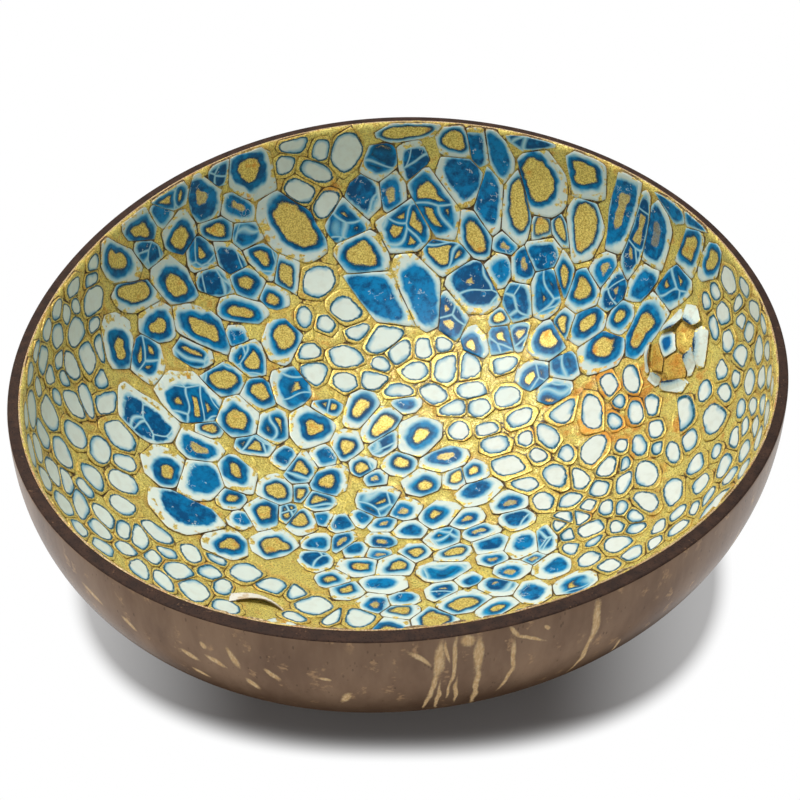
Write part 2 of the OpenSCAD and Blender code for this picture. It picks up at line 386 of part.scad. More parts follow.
// The shards on the bump and the raised ones round it, from the eye's centre in shares of the bump's radius
cap_shares = [
    [-0.12, 0.16, 0.44, 0.34, -60], [-0.56, 0, 0.42, 0.28, 90],
    [-0.04, -0.5, 0.46, 0.4, 90], [0.42, 0.1, 0.46, 0.28, 80]
];
petal_shares = [
    [-0.86, 0.15, 0.42, 0.13, 80], [-0.7, -0.5, 0.28, 0.14, -35], [-0.2, -0.95, 0.42, 0.15, -15],
    [0.42, -0.62, 0.36, 0.13, 60], [0.86, -0.4, 0.5, 0.15, 72], [0.08, 0.78, 0.4, 0.16, 8],
    [0.72, 0.66, 0.4, 0.18, -55]
];
eye = eye_shares * rolled_r;
caps = [for (oval = cap_shares) scaled(oval, eye_r, eye)];
petals = [for (oval = petal_shares) scaled(oval, eye_r, eye)];

// A cut is a point on a line and the direction that is cut away. This keeps the rest of a convex outline.
function cut_away(outline, cut) =
    let(n = len(outline), out = [for (p = outline) (p - cut[0]) * cut[1]])
    [for (i = [0:n - 1]) let(j = (i + 1) % n) each concat(
        out[i] <= 0 ? [outline[i]] : [],
        (out[i] < 0) != (out[j] < 0) && out[i] != out[j]
            ? [outline[i] + (outline[j] - outline[i]) * out[i] / (out[i] - out[j])]
            : []
    )];
function cut_by_all(outline, cuts, i = 0) =
    i == len(cuts) || len(outline) < 3 ? outline : cut_by_all(cut_away(outline, cuts[i]), cuts, i + 1);
function without_short_edges(outline) =
    let(n = len(outline))
    [for (i = [0:n - 1]) if (norm(outline[(i + 1) % n] - outline[i]) > edge_min) outline[i]];
function with_steps(outline) =
    let(n = len(outline))
    [for (i = [0:n - 1])
        let(a = outline[i], b = outline[(i + 1) % n], steps = ceil(norm(b - a) / edge_step))
        for (k = [0:steps - 1]) a + (b - a) * k / steps
    ];

// The shard's own broken outline, from straight cuts all round its oval
function own_cuts(oval, i) =
    let(
        middle = [oval[0], oval[1]],
        draws = rands(-1, 1, 2 * corners, corner_seed + i)
    )
    [for (k = [0:corners - 1])
        let(d = axis(oval[4] + 360 * (k + stray_share * draws[2 * k]) / corners))
        [middle + d * oval_touch(oval, d) * grow_share * (1 + rough_share * draws[2 * k + 1]), d]
    ];
// The crack between two shards, halfway between their ovals and square to both where they come nearest
function crack(oval, other) =
    let(
        from = [oval[0], oval[1]],
        gap = [other[0], other[1]] - from,
        d = gap / norm(gap),
        share = oval_reach(oval, d) / (oval_reach(oval, d) + oval_reach(other, -d)),
        face = oval_slope(oval, d) - oval_slope(other, -d),
        n = face / norm(face)
    )
    [from + gap * share - n * crack_w / 2, n];
function is_near(oval, other) =
    norm([other[0] - oval[0], other[1] - oval[1]]) < near_share * (oval[2] + other[2]);
// Nothing comes nearer to the rim than the clearance there.
function rim_cuts(oval) = [
    for (k = [-1:1]) let(d = axis(atan2(oval[1], oval[0]) + k * 360 / around)) [d * (rolled_r - rim_gap), d]
];
function outline_of(list, i, keep_off) =
    let(
        oval = list[i],
        size = 2 * oval[2],
        block = [for (c = [[-1, -1], [1, -1], [1, 1], [-1, 1]]) [oval[0], oval[1]] + c * size],
        cracks = concat(
            [for (j = [0:len(list) - 1]) if (j != i && is_near(oval, list[j])) crack(oval, list[j])],
            [for (other = keep_off) if (is_near(oval, other)) crack(oval, other)]
        )
    )
    with_steps(without_short_edges(cut_by_all(block, concat(own_cuts(oval, i), rim_cuts(oval), cracks))));

// A shard is a plate: the outline and its middle, low and high. Each corner is [x, y, low depth, high depth].
function middle_of(plate) = [for (c = plate) 1] * plate / len(plate);
function plate_points(plate) =
    let(all = concat(plate, [middle_of(plate)]))
    concat([for (c = all) on_bowl([c[0], c[1]], c[2])], [for (c = all) on_bowl([c[0], c[1]], c[3])]);
function plate_faces(n, from) = [
    for (i = [0:n - 1])
        let(j = (i + 1) % n, low = from, high = from + n + 1)
        each [
            [low + n, low + i, low + j],
            [high + n, high + j, high + i],
            [low + i, high + i, high + j],
            [low + i, high + j, low + j]
        ]
];
module plates(list) {
    starts = [for (i = 0, s = 0; i < len(list); s = s + 2 * (len(list[i]) + 1), i = i + 1) s];
    polyhedron(
        points = [for (plate = list) each plate_points(plate)],
        faces = [for (i = [0:len(list) - 1]) each plate_faces(len(list[i]), starts[i])]
    );
}
function flat_plate(outline) = [for (p = outline) [p.x, p.y, bed_depth, mosaic_depth]];
module shards(group) {
    start = first_of(group);
    plates([for (i = [start:start + len(groups[group]) - 1]) flat_plate(outline_of(ovals, i, kept_free))]);
}

// The bump over the eye: a low dome, and the depth of its top at a point
function bump_depth(p) =
    let(share = min(1, norm(p - eye) / eye_r))
    lining_gap + lining_t + eye_gap + eye_edge_t + eye_h * pow(1 - share * share, 2);
// What stands on the bump starts a clearance above it, and higher by a lift.
function raised(p, lift) = let(low = bump_depth(p) + eye_gap + lift) [p.x, p.y, low, low + shard_t];
function petal_plate(i) =
    let(oval = petals[i], out = norm([oval[0], oval[1]] - eye) + oval[3])
    [for (p = outline_of(concat(petals, caps), i, []))
        raised(p, petal_lift * max(0, min(1, (out - norm(p - eye)) / oval[3] / 2)))
    ];

// A closed wall between two grids of the same size, from the lowest point out to the rim
function grid_faces(n, m, from, flip) = [
    for (i = [0:n - 1], j = [0:m - 2])
        let(
            a = from + j * n + i,
            b = from + j * n + (i + 1) % n,
            c = b + n,
            d = a + n
        )
        each flip ? [[a, c, b], [a, d, c]] : [[a, b, c], [a, c, d]]
];
function fan_faces(n, from, pole, flip) =
    [for (i = [0:n - 1]) let(j = (i + 1) % n) flip ? [pole, from + i, from + j] : [pole, from + j, from + i]];
azimuths = [for (i = [0:around - 1]) 360 * i / around];
function ring_inside(t, depth) = [for (a = azimuths) inside(a, t, depth)];
ring_ts = [for (j = [1:rings]) 90 * j / rings];

module coconut_shell() {
    foot_t = acos(pow(bowl_h / (bowl_h + foot_depth), depth_power / 2));
    outer = [for (j = [0:rings - 1]) foot_t + (90 - foot_t) * j / rings];
    edge = [for (k = [0:2]) 90 * k / 2];
    rows = concat(
        [for (t = outer) [for (a = azimuths) outside(a, t)]],
        [for (e = edge) [for (a = azimuths)
            round_z(a, rim_r * outline_share(a) - rim_round * (1 - cos(e)), bowl_h - rim_round * (1 - sin(e)))
        ]],
        [for (j = [rings:-1:1]) ring_inside(90 * j / rings, 0)]
    );
    m = len(rows);
    foot = m * around;
    color([0.30, 0.21, 0.17])
    polyhedron(
        points = concat([for (row = rows) each row], [[0, 0, 0], inside(0, 0, 0)]),
        faces = concat(
            grid_faces(around, m, 0, true),
            fan_faces(around, 0, foot, true),
            fan_faces(around, (m - 1) * around, foot + 1, false)
        )
    );
}
module gold_lining() {
    rows = concat(
        [for (t = ring_ts) ring_inside(t, lining_gap)],
        [for (j = [rings:-1:1]) ring_inside(90 * j / rings, lining_gap + lining_t)]
    );
    m = len(rows);
    pole = m * around;
    color([0.72, 0.56, 0.22])
    polyhedron(
        points = concat(
            [for (row = rows) each row],
            [inside(0, 0, lining_gap), inside(0, 0, lining_gap + lining_t)]
        ),
        faces = concat(
            grid_faces(around, m, 0, true),
            fan_faces(around, 0, pole, true),
            fan_faces(around, (m - 1) * around, pole + 1, false)
        )
    );
}
module eye_bump() {
    sides = 20;
    steps = 4;
    spots = [for (k = [1:steps], i = [0:sides - 1]) eye + axis(360 * i / sides) * eye_r * k / steps];
    low = lining_gap + lining_t + eye_gap;
    count = len(spots);
    color([0.72, 0.56, 0.22])
    polyhedron(
        points = concat(
            [for (p = spots) on_bowl(p, bump_depth(p))],
            [for (p = spots) on_bowl(p, low)],
            [on_bowl(eye, bump_depth(eye)), on_bowl(eye, low)]
        ),
        faces = concat(
            grid_faces(sides, steps, 0, false),
            fan_faces(sides, 0, 2 * count, false),
            grid_faces(sides, steps, count, true),
            fan_faces(sides, count, 2 * count + 1, true),
            [for (i = [0:sides - 1])
                let(a = count - sides + i, b = count - sides + (i + 1) % sides)
                each [[a, b, b + count], [a, b + count, a + count]]
            ]
        )
    );
}
module eye_cap_shards() {
    color([0.78, 0.62, 0.28])
    plates([for (i = [0:len(caps) - 1]) [for (p = outline_of(concat(caps, petals), i, [])) raised(p, 0)]]);
}
module eye_petal_shards() {
    color([0.90, 0.90, 0.86])
    plates([for (i = [0:len(petals) - 1]) petal_plate(i)]);
}
module curled_shard() {
    stations = 10;
    along = axis(curl_turn);
    side = across(curl_turn);
    from = curl_shares * rolled_r - side * (curl_bow - curl_w * curl_end_share) / 2;
    spots = [
        for (i = [0:stations])
            let(
                u = 2 * i / stations - 1,
                rise = 1 - u * u,
                back = from + along * u * curl_l / 2 + side * curl_bow * rise,
                front = back - side * curl_w * (curl_end_share + (1 - curl_end_share) * rise)
            )
            each [
                on_bowl(back, bed_depth),
                on_bowl(back, mosaic_depth),
                on_bowl(front, mosaic_depth + curl_h * rise),
                on_bowl(front, bed_depth + curl_h * rise)
            ]
    ];
    last = 4 * stations;
    color([0.92, 0.91, 0.87])
    polyhedron(
        points = spots,
        faces = concat(
            [for (i = [0:stations - 1], k = [0:3])
                let(a = 4 * i + k, b = 4 * i + (k + 1) % 4)
                each [[a, b, b + 4], [a, b + 4, a + 4]]
            ],
            [[0, 3, 2], [0, 2, 1], [last, last + 1, last + 2], [last, last + 2, last + 3]]
        )
    );
}

ringed_blue = [0.16, 0.45, 0.62];
solid_blue = [0.05, 0.36, 0.60];
eggshell_white = [0.88, 0.88, 0.82];
module ringed_shards_back_left() { color(ringed_blue) shards(0); }
module ringed_shards_floor_left() { color(ringed_blue) shards(1); }
module ringed_shards_floor_front() { color(ringed_blue) shards(2); }
module ringed_shards_back() { color(ringed_blue) shards(3); }
module ringed_shards_back_right() { color(ringed_blue) shards(4); }
module ringed_shards_front_wall() { color(ringed_blue) shards(5); }
module solid_blue_shards_back_left() { color(solid_blue) shards(6); }
module solid_blue_shards_floor_left() { color(solid_blue) shards(7); }
module solid_blue_shards_floor_front() { color(solid_blue) shards(8); }
module solid_blue_shards_back() { color(solid_blue) shards(9); }
module solid_blue_shards_back_right() { color(solid_blue) shards(10); }
module solid_blue_shards_front_wall() { color(solid_blue) shards(11); }
module white_shards_left_wall() { color(eggshell_white) shards(12); }
module white_shards_back() { color(eggshell_white) shards(13); }
module white_shards_centre() { color(eggshell_white) shards(14); }
module white_shards_right_wall() { color(eggshell_white) shards(15); }
module white_shards_front_wall() { color(eggshell_white) shards(16); }

coconut_shell();
gold_lining();
ringed_shards_back_left();
ringed_shards_floor_left();
ringed_shards_floor_front();
ringed_shards_back();
ringed_shards_back_right();
ringed_shards_front_wall();
solid_blue_shards_back_left();
solid_blue_shards_floor_left();
solid_blue_shards_floor_front();
solid_blue_shards_back();
solid_blue_shards_back_right();
solid_blue_shards_front_wall();
white_shards_left_wall();
white_shards_back();
white_shards_centre();
white_shards_right_wall();
white_shards_front_wall();
eye_bump();
eye_cap_shards();
eye_petal_shards();
curled_shard();
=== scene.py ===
"""Looks of the coconut shell bowl: polished shell, gold lacquer and a mosaic of broken eggshell.

Sizes are in millimetres, and meshes in metres in the model's own frame. Places on the mosaic are given on the
bowl's inside rolled out flat, as in the part's source: a shard's "inset" is the distance from its edge, and a
"depth" is a distance above the bare shell.
"""

from __future__ import annotations

import logging
import math
from collections.abc import Callable, Iterable
from dataclasses import dataclass, field
from enum import Enum
from typing import Any

import bpy
import numpy as np
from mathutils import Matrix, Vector
from mathutils.geometry import convex_hull_2d

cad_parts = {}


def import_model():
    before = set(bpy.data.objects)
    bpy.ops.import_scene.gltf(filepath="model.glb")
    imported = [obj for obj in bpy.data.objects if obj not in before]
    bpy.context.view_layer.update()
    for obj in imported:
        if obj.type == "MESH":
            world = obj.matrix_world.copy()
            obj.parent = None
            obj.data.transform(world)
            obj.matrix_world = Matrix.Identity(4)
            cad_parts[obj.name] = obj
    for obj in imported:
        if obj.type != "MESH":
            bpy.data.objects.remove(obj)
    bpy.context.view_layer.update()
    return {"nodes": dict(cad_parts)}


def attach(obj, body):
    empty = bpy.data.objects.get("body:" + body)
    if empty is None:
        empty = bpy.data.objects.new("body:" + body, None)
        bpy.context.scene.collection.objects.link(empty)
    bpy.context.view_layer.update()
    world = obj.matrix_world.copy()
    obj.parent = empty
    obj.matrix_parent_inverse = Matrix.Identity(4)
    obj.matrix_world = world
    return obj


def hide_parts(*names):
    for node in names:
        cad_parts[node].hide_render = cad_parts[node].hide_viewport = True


LOG = logging.getLogger("coconut_bowl")
MM = 0.001
TURN = 2 * math.pi
Colour = tuple[float, float, float]
Inputs = dict[Any, Any]


def paint(red: int, green: int, blue: int) -> Colour:
    """Returns a colour written as 0 to 255 for the nodes, which take linear light."""

    def linear(level: int) -> float:
        """Returns one level as linear light."""
        share = level / 255
        return share / 12.92 if share <= 0.04045 else ((share + 0.055) / 1.055) ** 2.4

    return linear(red), linear(green), linear(blue)


# Node trees


class Wire:
    """A node's output. Python's operators on it add Math nodes to its tree."""

    def __init__(self, tree: Tree, socket: bpy.types.NodeSocket) -> None:
        """Keeps the socket and the tree that it is in."""
        self.tree = tree
        self.socket = socket

    def math(self, operation: str, *others: Any) -> Wire:
        """Returns a Math node's result on this value and the others."""
        return self.tree.node("ShaderNodeMath", {"operation": operation}, dict(enumerate((self, *others))))

    def output(self, name: str | int) -> Wire:
        """Returns another output of the same node."""
        return Wire(self.tree, self.socket.node.outputs[name])

    def __add__(self, other: Any) -> Wire:
        """Returns self + other."""
        return self.math("ADD", other)

    __radd__ = __add__

    def __sub__(self, other: Any) -> Wire:
        """Returns self - other."""
        return self.math("SUBTRACT", other)

    def __rsub__(self, other: Any) -> Wire:
        """Returns other - self."""
        return self.tree.node("ShaderNodeMath", {"operation": "SUBTRACT"}, {0: other, 1: self})

    def __mul__(self, other: Any) -> Wire:
        """Returns self * other."""
        return self.math("MULTIPLY", other)

    __rmul__ = __mul__

    def __truediv__(self, other: Any) -> Wire:
        """Returns self / other."""
        return self.math("DIVIDE", other)

    def __pow__(self, other: Any) -> Wire:
        """Returns self to the power of other."""
        return self.math("POWER", other)

    def __gt__(self, other: Any) -> Wire:
        """Returns 1 where self is above other, and 0 elsewhere."""
        return self.math("GREATER_THAN", other)

    def cosine(self) -> Wire:
        """Returns the cosine of self."""
        return self.math("COSINE")

    def sine(self) -> Wire:
        """Returns the sine of self."""
        return self.math("SINE")

    def ease(self, low: Any, high: Any, kind: str = "SMOOTHSTEP") -> Wire:
        """Returns a step from 0 at low to 1 at high, smooth or of another kind."""
        inputs = {"Value": self, "From Min": low, "From Max": high}
        return self.tree.node("ShaderNodeMapRange", {"interpolation_type": kind}, inputs)

    def to(self, other: Any, factor: Wire) -> Wire:
        """Returns this value where factor is 0 and other where it is 1."""
        return self + factor * (other - self)


class Tree:
    """A node tree, and the one method by which nodes are added to it."""

    def __init__(self, tree: bpy.types.NodeTree) -> None:
        """Keeps Blender's own tree."""
        self.tree = tree

    def node(self, kind: str, settings: dict[str, Any], inputs: Inputs, output: Any = 0) -> Wire:
        """Adds a node.

        Args:
            kind: The node's type.
            settings: Its settings, which are set first.
            inputs: Values or wires for its sockets, by name or number.
            output: Which of its outputs to return.

        Returns:
            That output.
        """
        made = self.tree.nodes.new(kind)
        for name, value in settings.items():
            setattr(made, name, value)
        for name, value in inputs.items():
            if isinstance(value, Wire):
                self.tree.links.new(value.socket, made.inputs[name])
            else:
                made.inputs[name].default_value = value
        return Wire(self, made.outputs[output]) if made.outputs else Wire(self, made.inputs[0])

    def mix(self, factor: Any, low: Any, high: Any) -> Wire:
        """Returns the colour low where factor is 0 and high where it is 1."""
        low, high = ((*c, 1) if isinstance(c, tuple) else c for c in (low, high))
        return self.node("ShaderNodeMix", {"data_type": "RGBA"}, {0: factor, 6: low, 7: high}, 2)

    def vector(self, operation: str, *values: Any, output: str | int = 0) -> Wire:
        """Returns a Vector Math node's result on the values."""
        return self.node("ShaderNodeVectorMath", {"operation": operation}, dict(enumerate(values)), output)

    def point(self, *parts: Wire) -> Wire:
        """Returns the vector of two or three numbers."""
        return self.node("ShaderNodeCombineXYZ", {}, dict(enumerate(parts)))

    def parts(self, vector: Wire) -> list[Wire]:
        """Returns the three numbers of a vector."""
        split = self.node("ShaderNodeSeparateXYZ", {}, {0: vector})
        return [split.output(i) for i in range(3)]

    def value(self, name: str) -> Wire:
        """Returns a value that the mesh carries at its points."""
        return self.node("ShaderNodeAttribute", {"attribute_name": name}, {}, "Fac")

    def place(self, x: float = 1, y: float = 1, z: float = 1) -> Wire:
        """Returns the place on the object in millimetres, each axis times its own factor."""
        coordinates = self.node("ShaderNodeTexCoord", {}, {}, "Object")
        return self.vector("MULTIPLY", coordinates, (x / MM, y / MM, z / MM))

    def noise(self, place: Wire, size: float, detail: float = 2, rough: float = 0.55) -> Wire:
        """Returns noise about 0.5, with features of a size in millimetres."""
        inputs = {"Vector": place, "Scale": 1 / size, "Detail": detail, "Roughness": rough}
        return self.node("ShaderNodeTexNoise", {}, inputs)

    def wander(self, place: Wire, size: float, spread: Any, detail: float = 2, rough: float = 0.55) -> Wire:
        """Returns noise about 0, times a spread."""
        return (self.noise(place, size, detail, rough) - 0.5) * spread

    def swayed(self, start: Wire, place: Wire, size: float, reach: float, detail: float) -> Wire:
        """Moves a vector about by noise.

        Args:
            start: The vector.
            place: The place that the noise is read at.
            size: The size of the noise's features in millimetres.
            reach: The most that it moves the vector by.
            detail: How much finer noise is in it.

        Returns:
            The moved vector.
        """
        inputs = {"Vector": place, "Scale": 1 / size, "Detail": detail}
        sway = self.node("ShaderNodeTexNoise", {}, inputs, "Color")
        return self.vector("MULTIPLY_ADD", sway, (reach,) * 3, start)

    def cells(self, place: Wire, size: float, feature: str = "F1") -> Wire:
        """Returns the distances of a cell pattern with cells of a size in millimetres."""
        inputs = {"Vector": place, "Scale": 1 / size}
        return self.node("ShaderNodeTexVoronoi", {"feature": feature}, inputs, "Distance")

    def bump(self, height: Wire, depth: float) -> Wire:
        """Returns the normal of a surface whose height of 0 to 1 stands for a depth in millimetres."""
        return self.node("ShaderNodeBump", {}, {"Height": height, "Distance": depth * MM})

    def spot(self, place: Wire, middle: tuple[float, float, float]) -> Wire:
        """Returns the distance in millimetres from a place on the object."""
        return self.vector("DISTANCE", place, middle, output="Value")

    def join(self, shader: Wire, kind: str = "ShaderNodeOutputMaterial", socket: str = "Surface") -> None:
        """Ends the tree in an output."""
        self.node(kind, {}, {socket: shader})


# Finishes


@dataclass(frozen=True)
class Finish:
    """A surface finish, which knows how to paint itself."""

    name: str

    def sockets(self, tree: Tree) -> Inputs:
        """Returns what goes into the sockets of the Principled shader."""
        raise NotImplementedError

    def surface(self, tree: Tree) -> Wire:
        """Returns the shader."""
        return tree.node("ShaderNodeBsdfPrincipled", {}, self.sockets(tree))

    def material(self) -> bpy.types.Material:
        """Makes the finish's material at its first use.

        Returns:
            The material.
        """
        made = bpy.data.materials.get(self.name)
        if made is None:
            made = bpy.data.materials.new(self.name)
            made.use_nodes = True
            made.node_tree.nodes.clear()
            tree = Tree(made.node_tree)
            tree.join(self.surface(tree))
        return made


@dataclass(frozen=True)
class Mark:
    """A pale streak on the outer wall.

    Its ends are an angle from the front in degrees and a height, and its half width is in millimetres.
    """

    start: tuple[float, float]
    end: tuple[float, float]
    half: float


MARKS = tuple(
    Mark(start, end, half)
    for start, end, half in (
        ((5.7, 46.6), (5.1, 38), 0.75), ((5.2, 40), (4.4, 30), 0.5), ((5.8, 36), (5.4, 24), 0.3),
        ((4.4, 32), (3.7, 25), 0.35), ((6.3, 46.8), (6.7, 42), 0.3), ((7.9, 48), (7.2, 34), 0.35),
        ((7.2, 36), (6.8, 30), 0.25), ((8, 36.5), (8.1, 27), 0.3), ((9.1, 47.2), (9.3, 45.8), 0.8),
        ((10.6, 46.2), (10.7, 38), 0.7), ((10.7, 41), (11.3, 23), 0.5), ((15.8, 44), (16, 36), 0.45),
        ((16, 38), (14.7, 29.5), 0.4), ((28.3, 47), (28.4, 37), 0.75), ((28.4, 41), (27.2, 27), 0.5),
        ((1.6, 44.9), (3.8, 41.8), 0.45), ((15.1, 47.5), (16.4, 45.1), 0.4),
        ((16, 45.4), (19.9, 42.3), 0.35), ((20.2, 45.5), (20.6, 44.9), 0.4),
        ((34.5, 31.6), (34.7, 27), 0.35), ((-46.3, 40.2), (-43.6, 38.7), 0.6),
        ((-39, 38.6), (-37.7, 37.1), 0.6), ((-29.6, 37.6), (-28.2, 36.6), 0.75),
        ((-22.8, 42.2), (-21.9, 38.2), 0.55), ((-25.6, 38.5), (-24.2, 37), 0.6),
        ((-29, 32), (-27.6, 31), 0.6), ((-26.4, 41.8), (-26.1, 41), 0.5),
        ((-20.6, 34), (-19.8, 32), 0.65), ((-17.7, 38.7), (-16.4, 36.8), 0.6),
        ((-66, 34), (-64, 27), 0.45), ((-105, 41), (-106, 32), 0.5), ((-128, 35), (-126, 26), 0.45),
        ((-150, 44), (-151, 29), 0.65), ((172, 45), (171, 30), 0.6), ((148, 39), (147, 31), 0.4),
        ((124, 44), (126, 33), 0.55), ((96, 40), (97, 31), 0.45), ((60, 38), (59, 30), 0.4),
        ((-6.9, 33.4), (-7.7, 30.8), 0.7), ((-10.6, 38.4), (-9.6, 38.1), 0.4),
    )
)


@dataclass(frozen=True)
class PolishedShell(Finish):
    """The polished outside: brown under a gloss, with painted shade low down, and flecks, fibres and pale
    streaks.
    """

    marks: tuple[Mark, ...] = MARKS
    wall_r: float = 62
    browns: tuple[Colour, Colour] = (paint(128, 101, 80), paint(161, 132, 106))
    painted_shade_brown: Colour = paint(48, 35, 30)
    painted_shade_heights: tuple[float, float] = (37, 24)
    fleck: Colour = paint(200, 162, 120)
    streak: tuple[Colour, Colour] = (paint(220, 182, 130), paint(242, 212, 164))
    gloss_heights: tuple[float, float] = (27, 44)
    side_gloss: tuple[float, float] = (28, 60)

    def streaks(self, tree: Tree, across: Wire, height: Wire) -> Wire:
        """Measures the streaks.

        Args:
            tree: The material's tree.
            across: The way round the wall in millimetres.
            height: The height in millimetres.

        Returns:
            How far inside the nearest streak each place is, as a share that is below 0 outside.
        """
        spot = tree.point(across, height)
        nearest: Wire | None = None
        for mark in self.marks:
            x, y = mark.start[0] / 360 * TURN * self.wall_r, mark.start[1]
            run = (mark.end[0] / 360 * TURN * self.wall_r - x, mark.end[1] - y)
            inputs = {
                "Vector": spot, "Location": (x + run[0] / 2, y + run[1] / 2, 0),
                "Rotation": (0, 0, math.atan2(run[1], run[0])),
                "Scale": (math.hypot(*run) / 2 + mark.half, mark.half, 1),
            }
            local = tree.node("ShaderNodeMapping", {"vector_type": "TEXTURE"}, inputs)
            off = tree.vector("LENGTH", local, output="Value")
            nearest = off if nearest is None else nearest.math("MINIMUM", off)
        return 1 - nearest

    def sockets(self, tree: Tree) -> Inputs:
        """Paints the surface.

        Args:
            tree: The material's tree.

        Returns:
            What goes into the sockets of the Principled shader.
        """
        place, fibre = tree.place(), tree.place(1, 1, 0.3)
        x, y, height = tree.parts(place)
        across = x.math("ARCTAN2", y * -1) * self.wall_r
        bend = tree.wander(fibre, 2.6, 1.5, 1)
        stray = tree.wander(place, 0.6, 0.7, 3, 0.7)
        pale = (self.streaks(tree, across + bend, height) + stray).ease(-0.25, 0.45)
        brown = tree.mix(tree.noise(fibre, 9, 4, 0.6).ease(0.3, 0.72), *self.browns)
        grain = tree.noise(fibre, 0.6, 3, 0.7).ease(0.35, 0.75)
        brown = tree.mix(grain * 0.12, brown, paint(138, 104, 76))
        dark = tree.cells(tree.place(1, 1, 0.35), 0.75).ease(0.28, 0.16)
        dark = dark * tree.noise(place, 3, 2).ease(0.5, 0.66)
        brown = tree.mix(dark * 0.4, brown, paint(48, 34, 28))
        torn = tree.swayed(tree.place(1, 1, 0.5), place, 1, 2.6, 2)
        soft = tree.cells(torn, 2.9).ease(0.34, 0.12) * tree.noise(place, 8, 2).ease(0.4, 0.54)
        fleck = soft * tree.noise(place, 0.9, 3, 0.7).ease(0.3, 0.6)
        brown = tree.mix(fleck * 0.8, brown, self.fleck)
        # Painted shade: the brown darkens towards the foot, where the wall faces down to the floor.
        brown = tree.mix(height.ease(*self.painted_shade_heights) * 0.7, brown, self.painted_shade_brown)
        streak = tree.mix(tree.noise(fibre, 0.35, 2).ease(0.35, 0.7), *self.streak)
        at_side = x.math("ABSOLUTE").ease(*self.side_gloss) * 0.6
        return {
            "Base Color": tree.mix(pale * 0.95, brown, streak),
            "Roughness": pale * 0.12 + (tree.noise(fibre, 1.1, 3) * 0.16 + 0.24),
            "Specular IOR Level": 0.0,
            "Coat Weight": (height.ease(*self.gloss_heights) * 0.3).math("MAXIMUM", at_side),
            "Coat Roughness": 0.2,
            "Normal": tree.bump(grain * 0.25 - dark * 0.5, 0.03),
        }


@dataclass(frozen=True)
class SawnShell(Finish):
    """Shell cut across the fibres, as on the rim and the foot."""

    dark: Colour
    light: Colour
    roughness: float

    def sockets(self, tree: Tree) -> Inputs:
        """Paints the surface.

        Args:
            tree: The material's tree.

        Returns:
            What goes into the sockets of the Principled shader.
        """
        place = tree.place()
        pores = tree.cells(place, 0.42).ease(0.34, 0.14)
        clouds = tree.noise(place, 2.4, 4, 0.65).ease(0.32, 0.7)
        tan = tree.noise(place, 0.5, 2) * tree.noise(place, 4, 2)
        colour = tree.mix(clouds, self.dark, self.light)
        colour = tree.mix(tan.ease(0.36, 0.5) * 0.6, colour, paint(134, 100, 74))
        return {
            "Base Color": tree.mix(pores * 0.7, colour, paint(26, 18, 17)),
            "Roughness": self.roughness + clouds * 0.14,
            "Specular IOR Level": 0.22,
            "Normal": tree.bump(tree.noise(place, 0.3, 3) - pores, 0.04),
        }


@dataclass(frozen=True)
class Stain:
    """The orange stain in the gold, in small clouds that crowd round one place."""

    middle: tuple[float, float, float] = (42.2, 22.2, 15.6)
    radius: float = 22
    crowding: float = 0.18
    colour: Colour = paint(226, 138, 34)

    def over(self, tree: Tree, place: Wire, gold: Wire) -> Wire:
        """Stains a gold.

        Args:
            tree: The material's tree.
            place: The place on the object.
            gold: The gold's colour.

        Returns:
            Its colour with the stain on it.
        """
        near = tree.spot(place, self.middle).ease(self.radius, 2) * self.crowding
        rust = (tree.noise(place, 3, 4, 0.65) + near).ease(0.54, 0.76)
        return tree.mix(rust * 0.75, gold, self.colour)


STAIN = Stain()


@dataclass(frozen=True)
class GoldLacquer(Finish):
    """Gold lacquer with a fine metal grain, darker where it lies in a narrow crack or has flaked off."""

    light: Colour = paint(255, 238, 132)
    deep: Colour = paint(204, 177, 80)
    cracks: bool = True
    flaked_place: tuple[float, float, float] = (55.9, 27.4, 29.3)
    flaked_radii: tuple[float, float] = (1.2, 0.8)

    def sockets(self, tree: Tree) -> Inputs:
        """Paints the surface.

        Args:
            tree: The material's tree.

        Returns:
            What goes into the sockets of the Principled shader.
        """
        place = tree.place()
        grain = tree.noise(place, 0.34, 3, 0.75).ease(0.4, 0.6)
        clouds = tree.noise(place, 7, 3, 0.55).ease(0.32, 0.68)
        colour = STAIN.over(tree, place, tree.mix(clouds * 0.3 + grain * 0.7, self.deep, self.light))
        ridge = (tree.noise(place, 8, 2) - 0.5).math("ABSOLUTE").ease(0.022, 0.006)
        colour = tree.mix(ridge * 0.6, colour, paint(255, 228, 112))
        glint = tree.cells(place, 0.42).ease(0.3, 0.12) * tree.noise(place, 1.4, 2).ease(0.4, 0.62)
        metal = grain * 0.2 + 0.3
        if self.cracks:
            warm = tree.value("room").ease(1.1, 0.3) * tree.noise(place, 5, 3).ease(0.46, 0.6)
            colour = tree.mix(warm * 0.35, colour, paint(206, 134, 44))
            room = tree.value("room") + tree.wander(place, 0.5, 0.35, 3)
            closed = room.ease(0.18, 0.05) * tree.noise(place, 6, 2).ease(0.4, 0.54)
            colour = tree.mix(closed * (1 - glint * 0.8), colour, paint(88, 64, 28))
            metal = metal * (1 - closed * (1 - glint) * 0.8)
            from_flaked = tree.spot(place, self.flaked_place) + tree.wander(place, 0.8, 2, 3)
            flaked = from_flaked.ease(*self.flaked_radii)
            colour = tree.mix(flaked * (1 - glint), colour, paint(48, 38, 26))
        return {
            "Base Color": tree.mix(glint * 0.45, colour, paint(255, 236, 168)),
            "Metallic": metal,
            "Roughness": grain * 0.18 + 0.26,
            "Coat Weight": 0.2,
            "Coat Roughness": 0.25,
            "Normal": tree.bump(grain + clouds + ridge * 2, 0.05),
        }


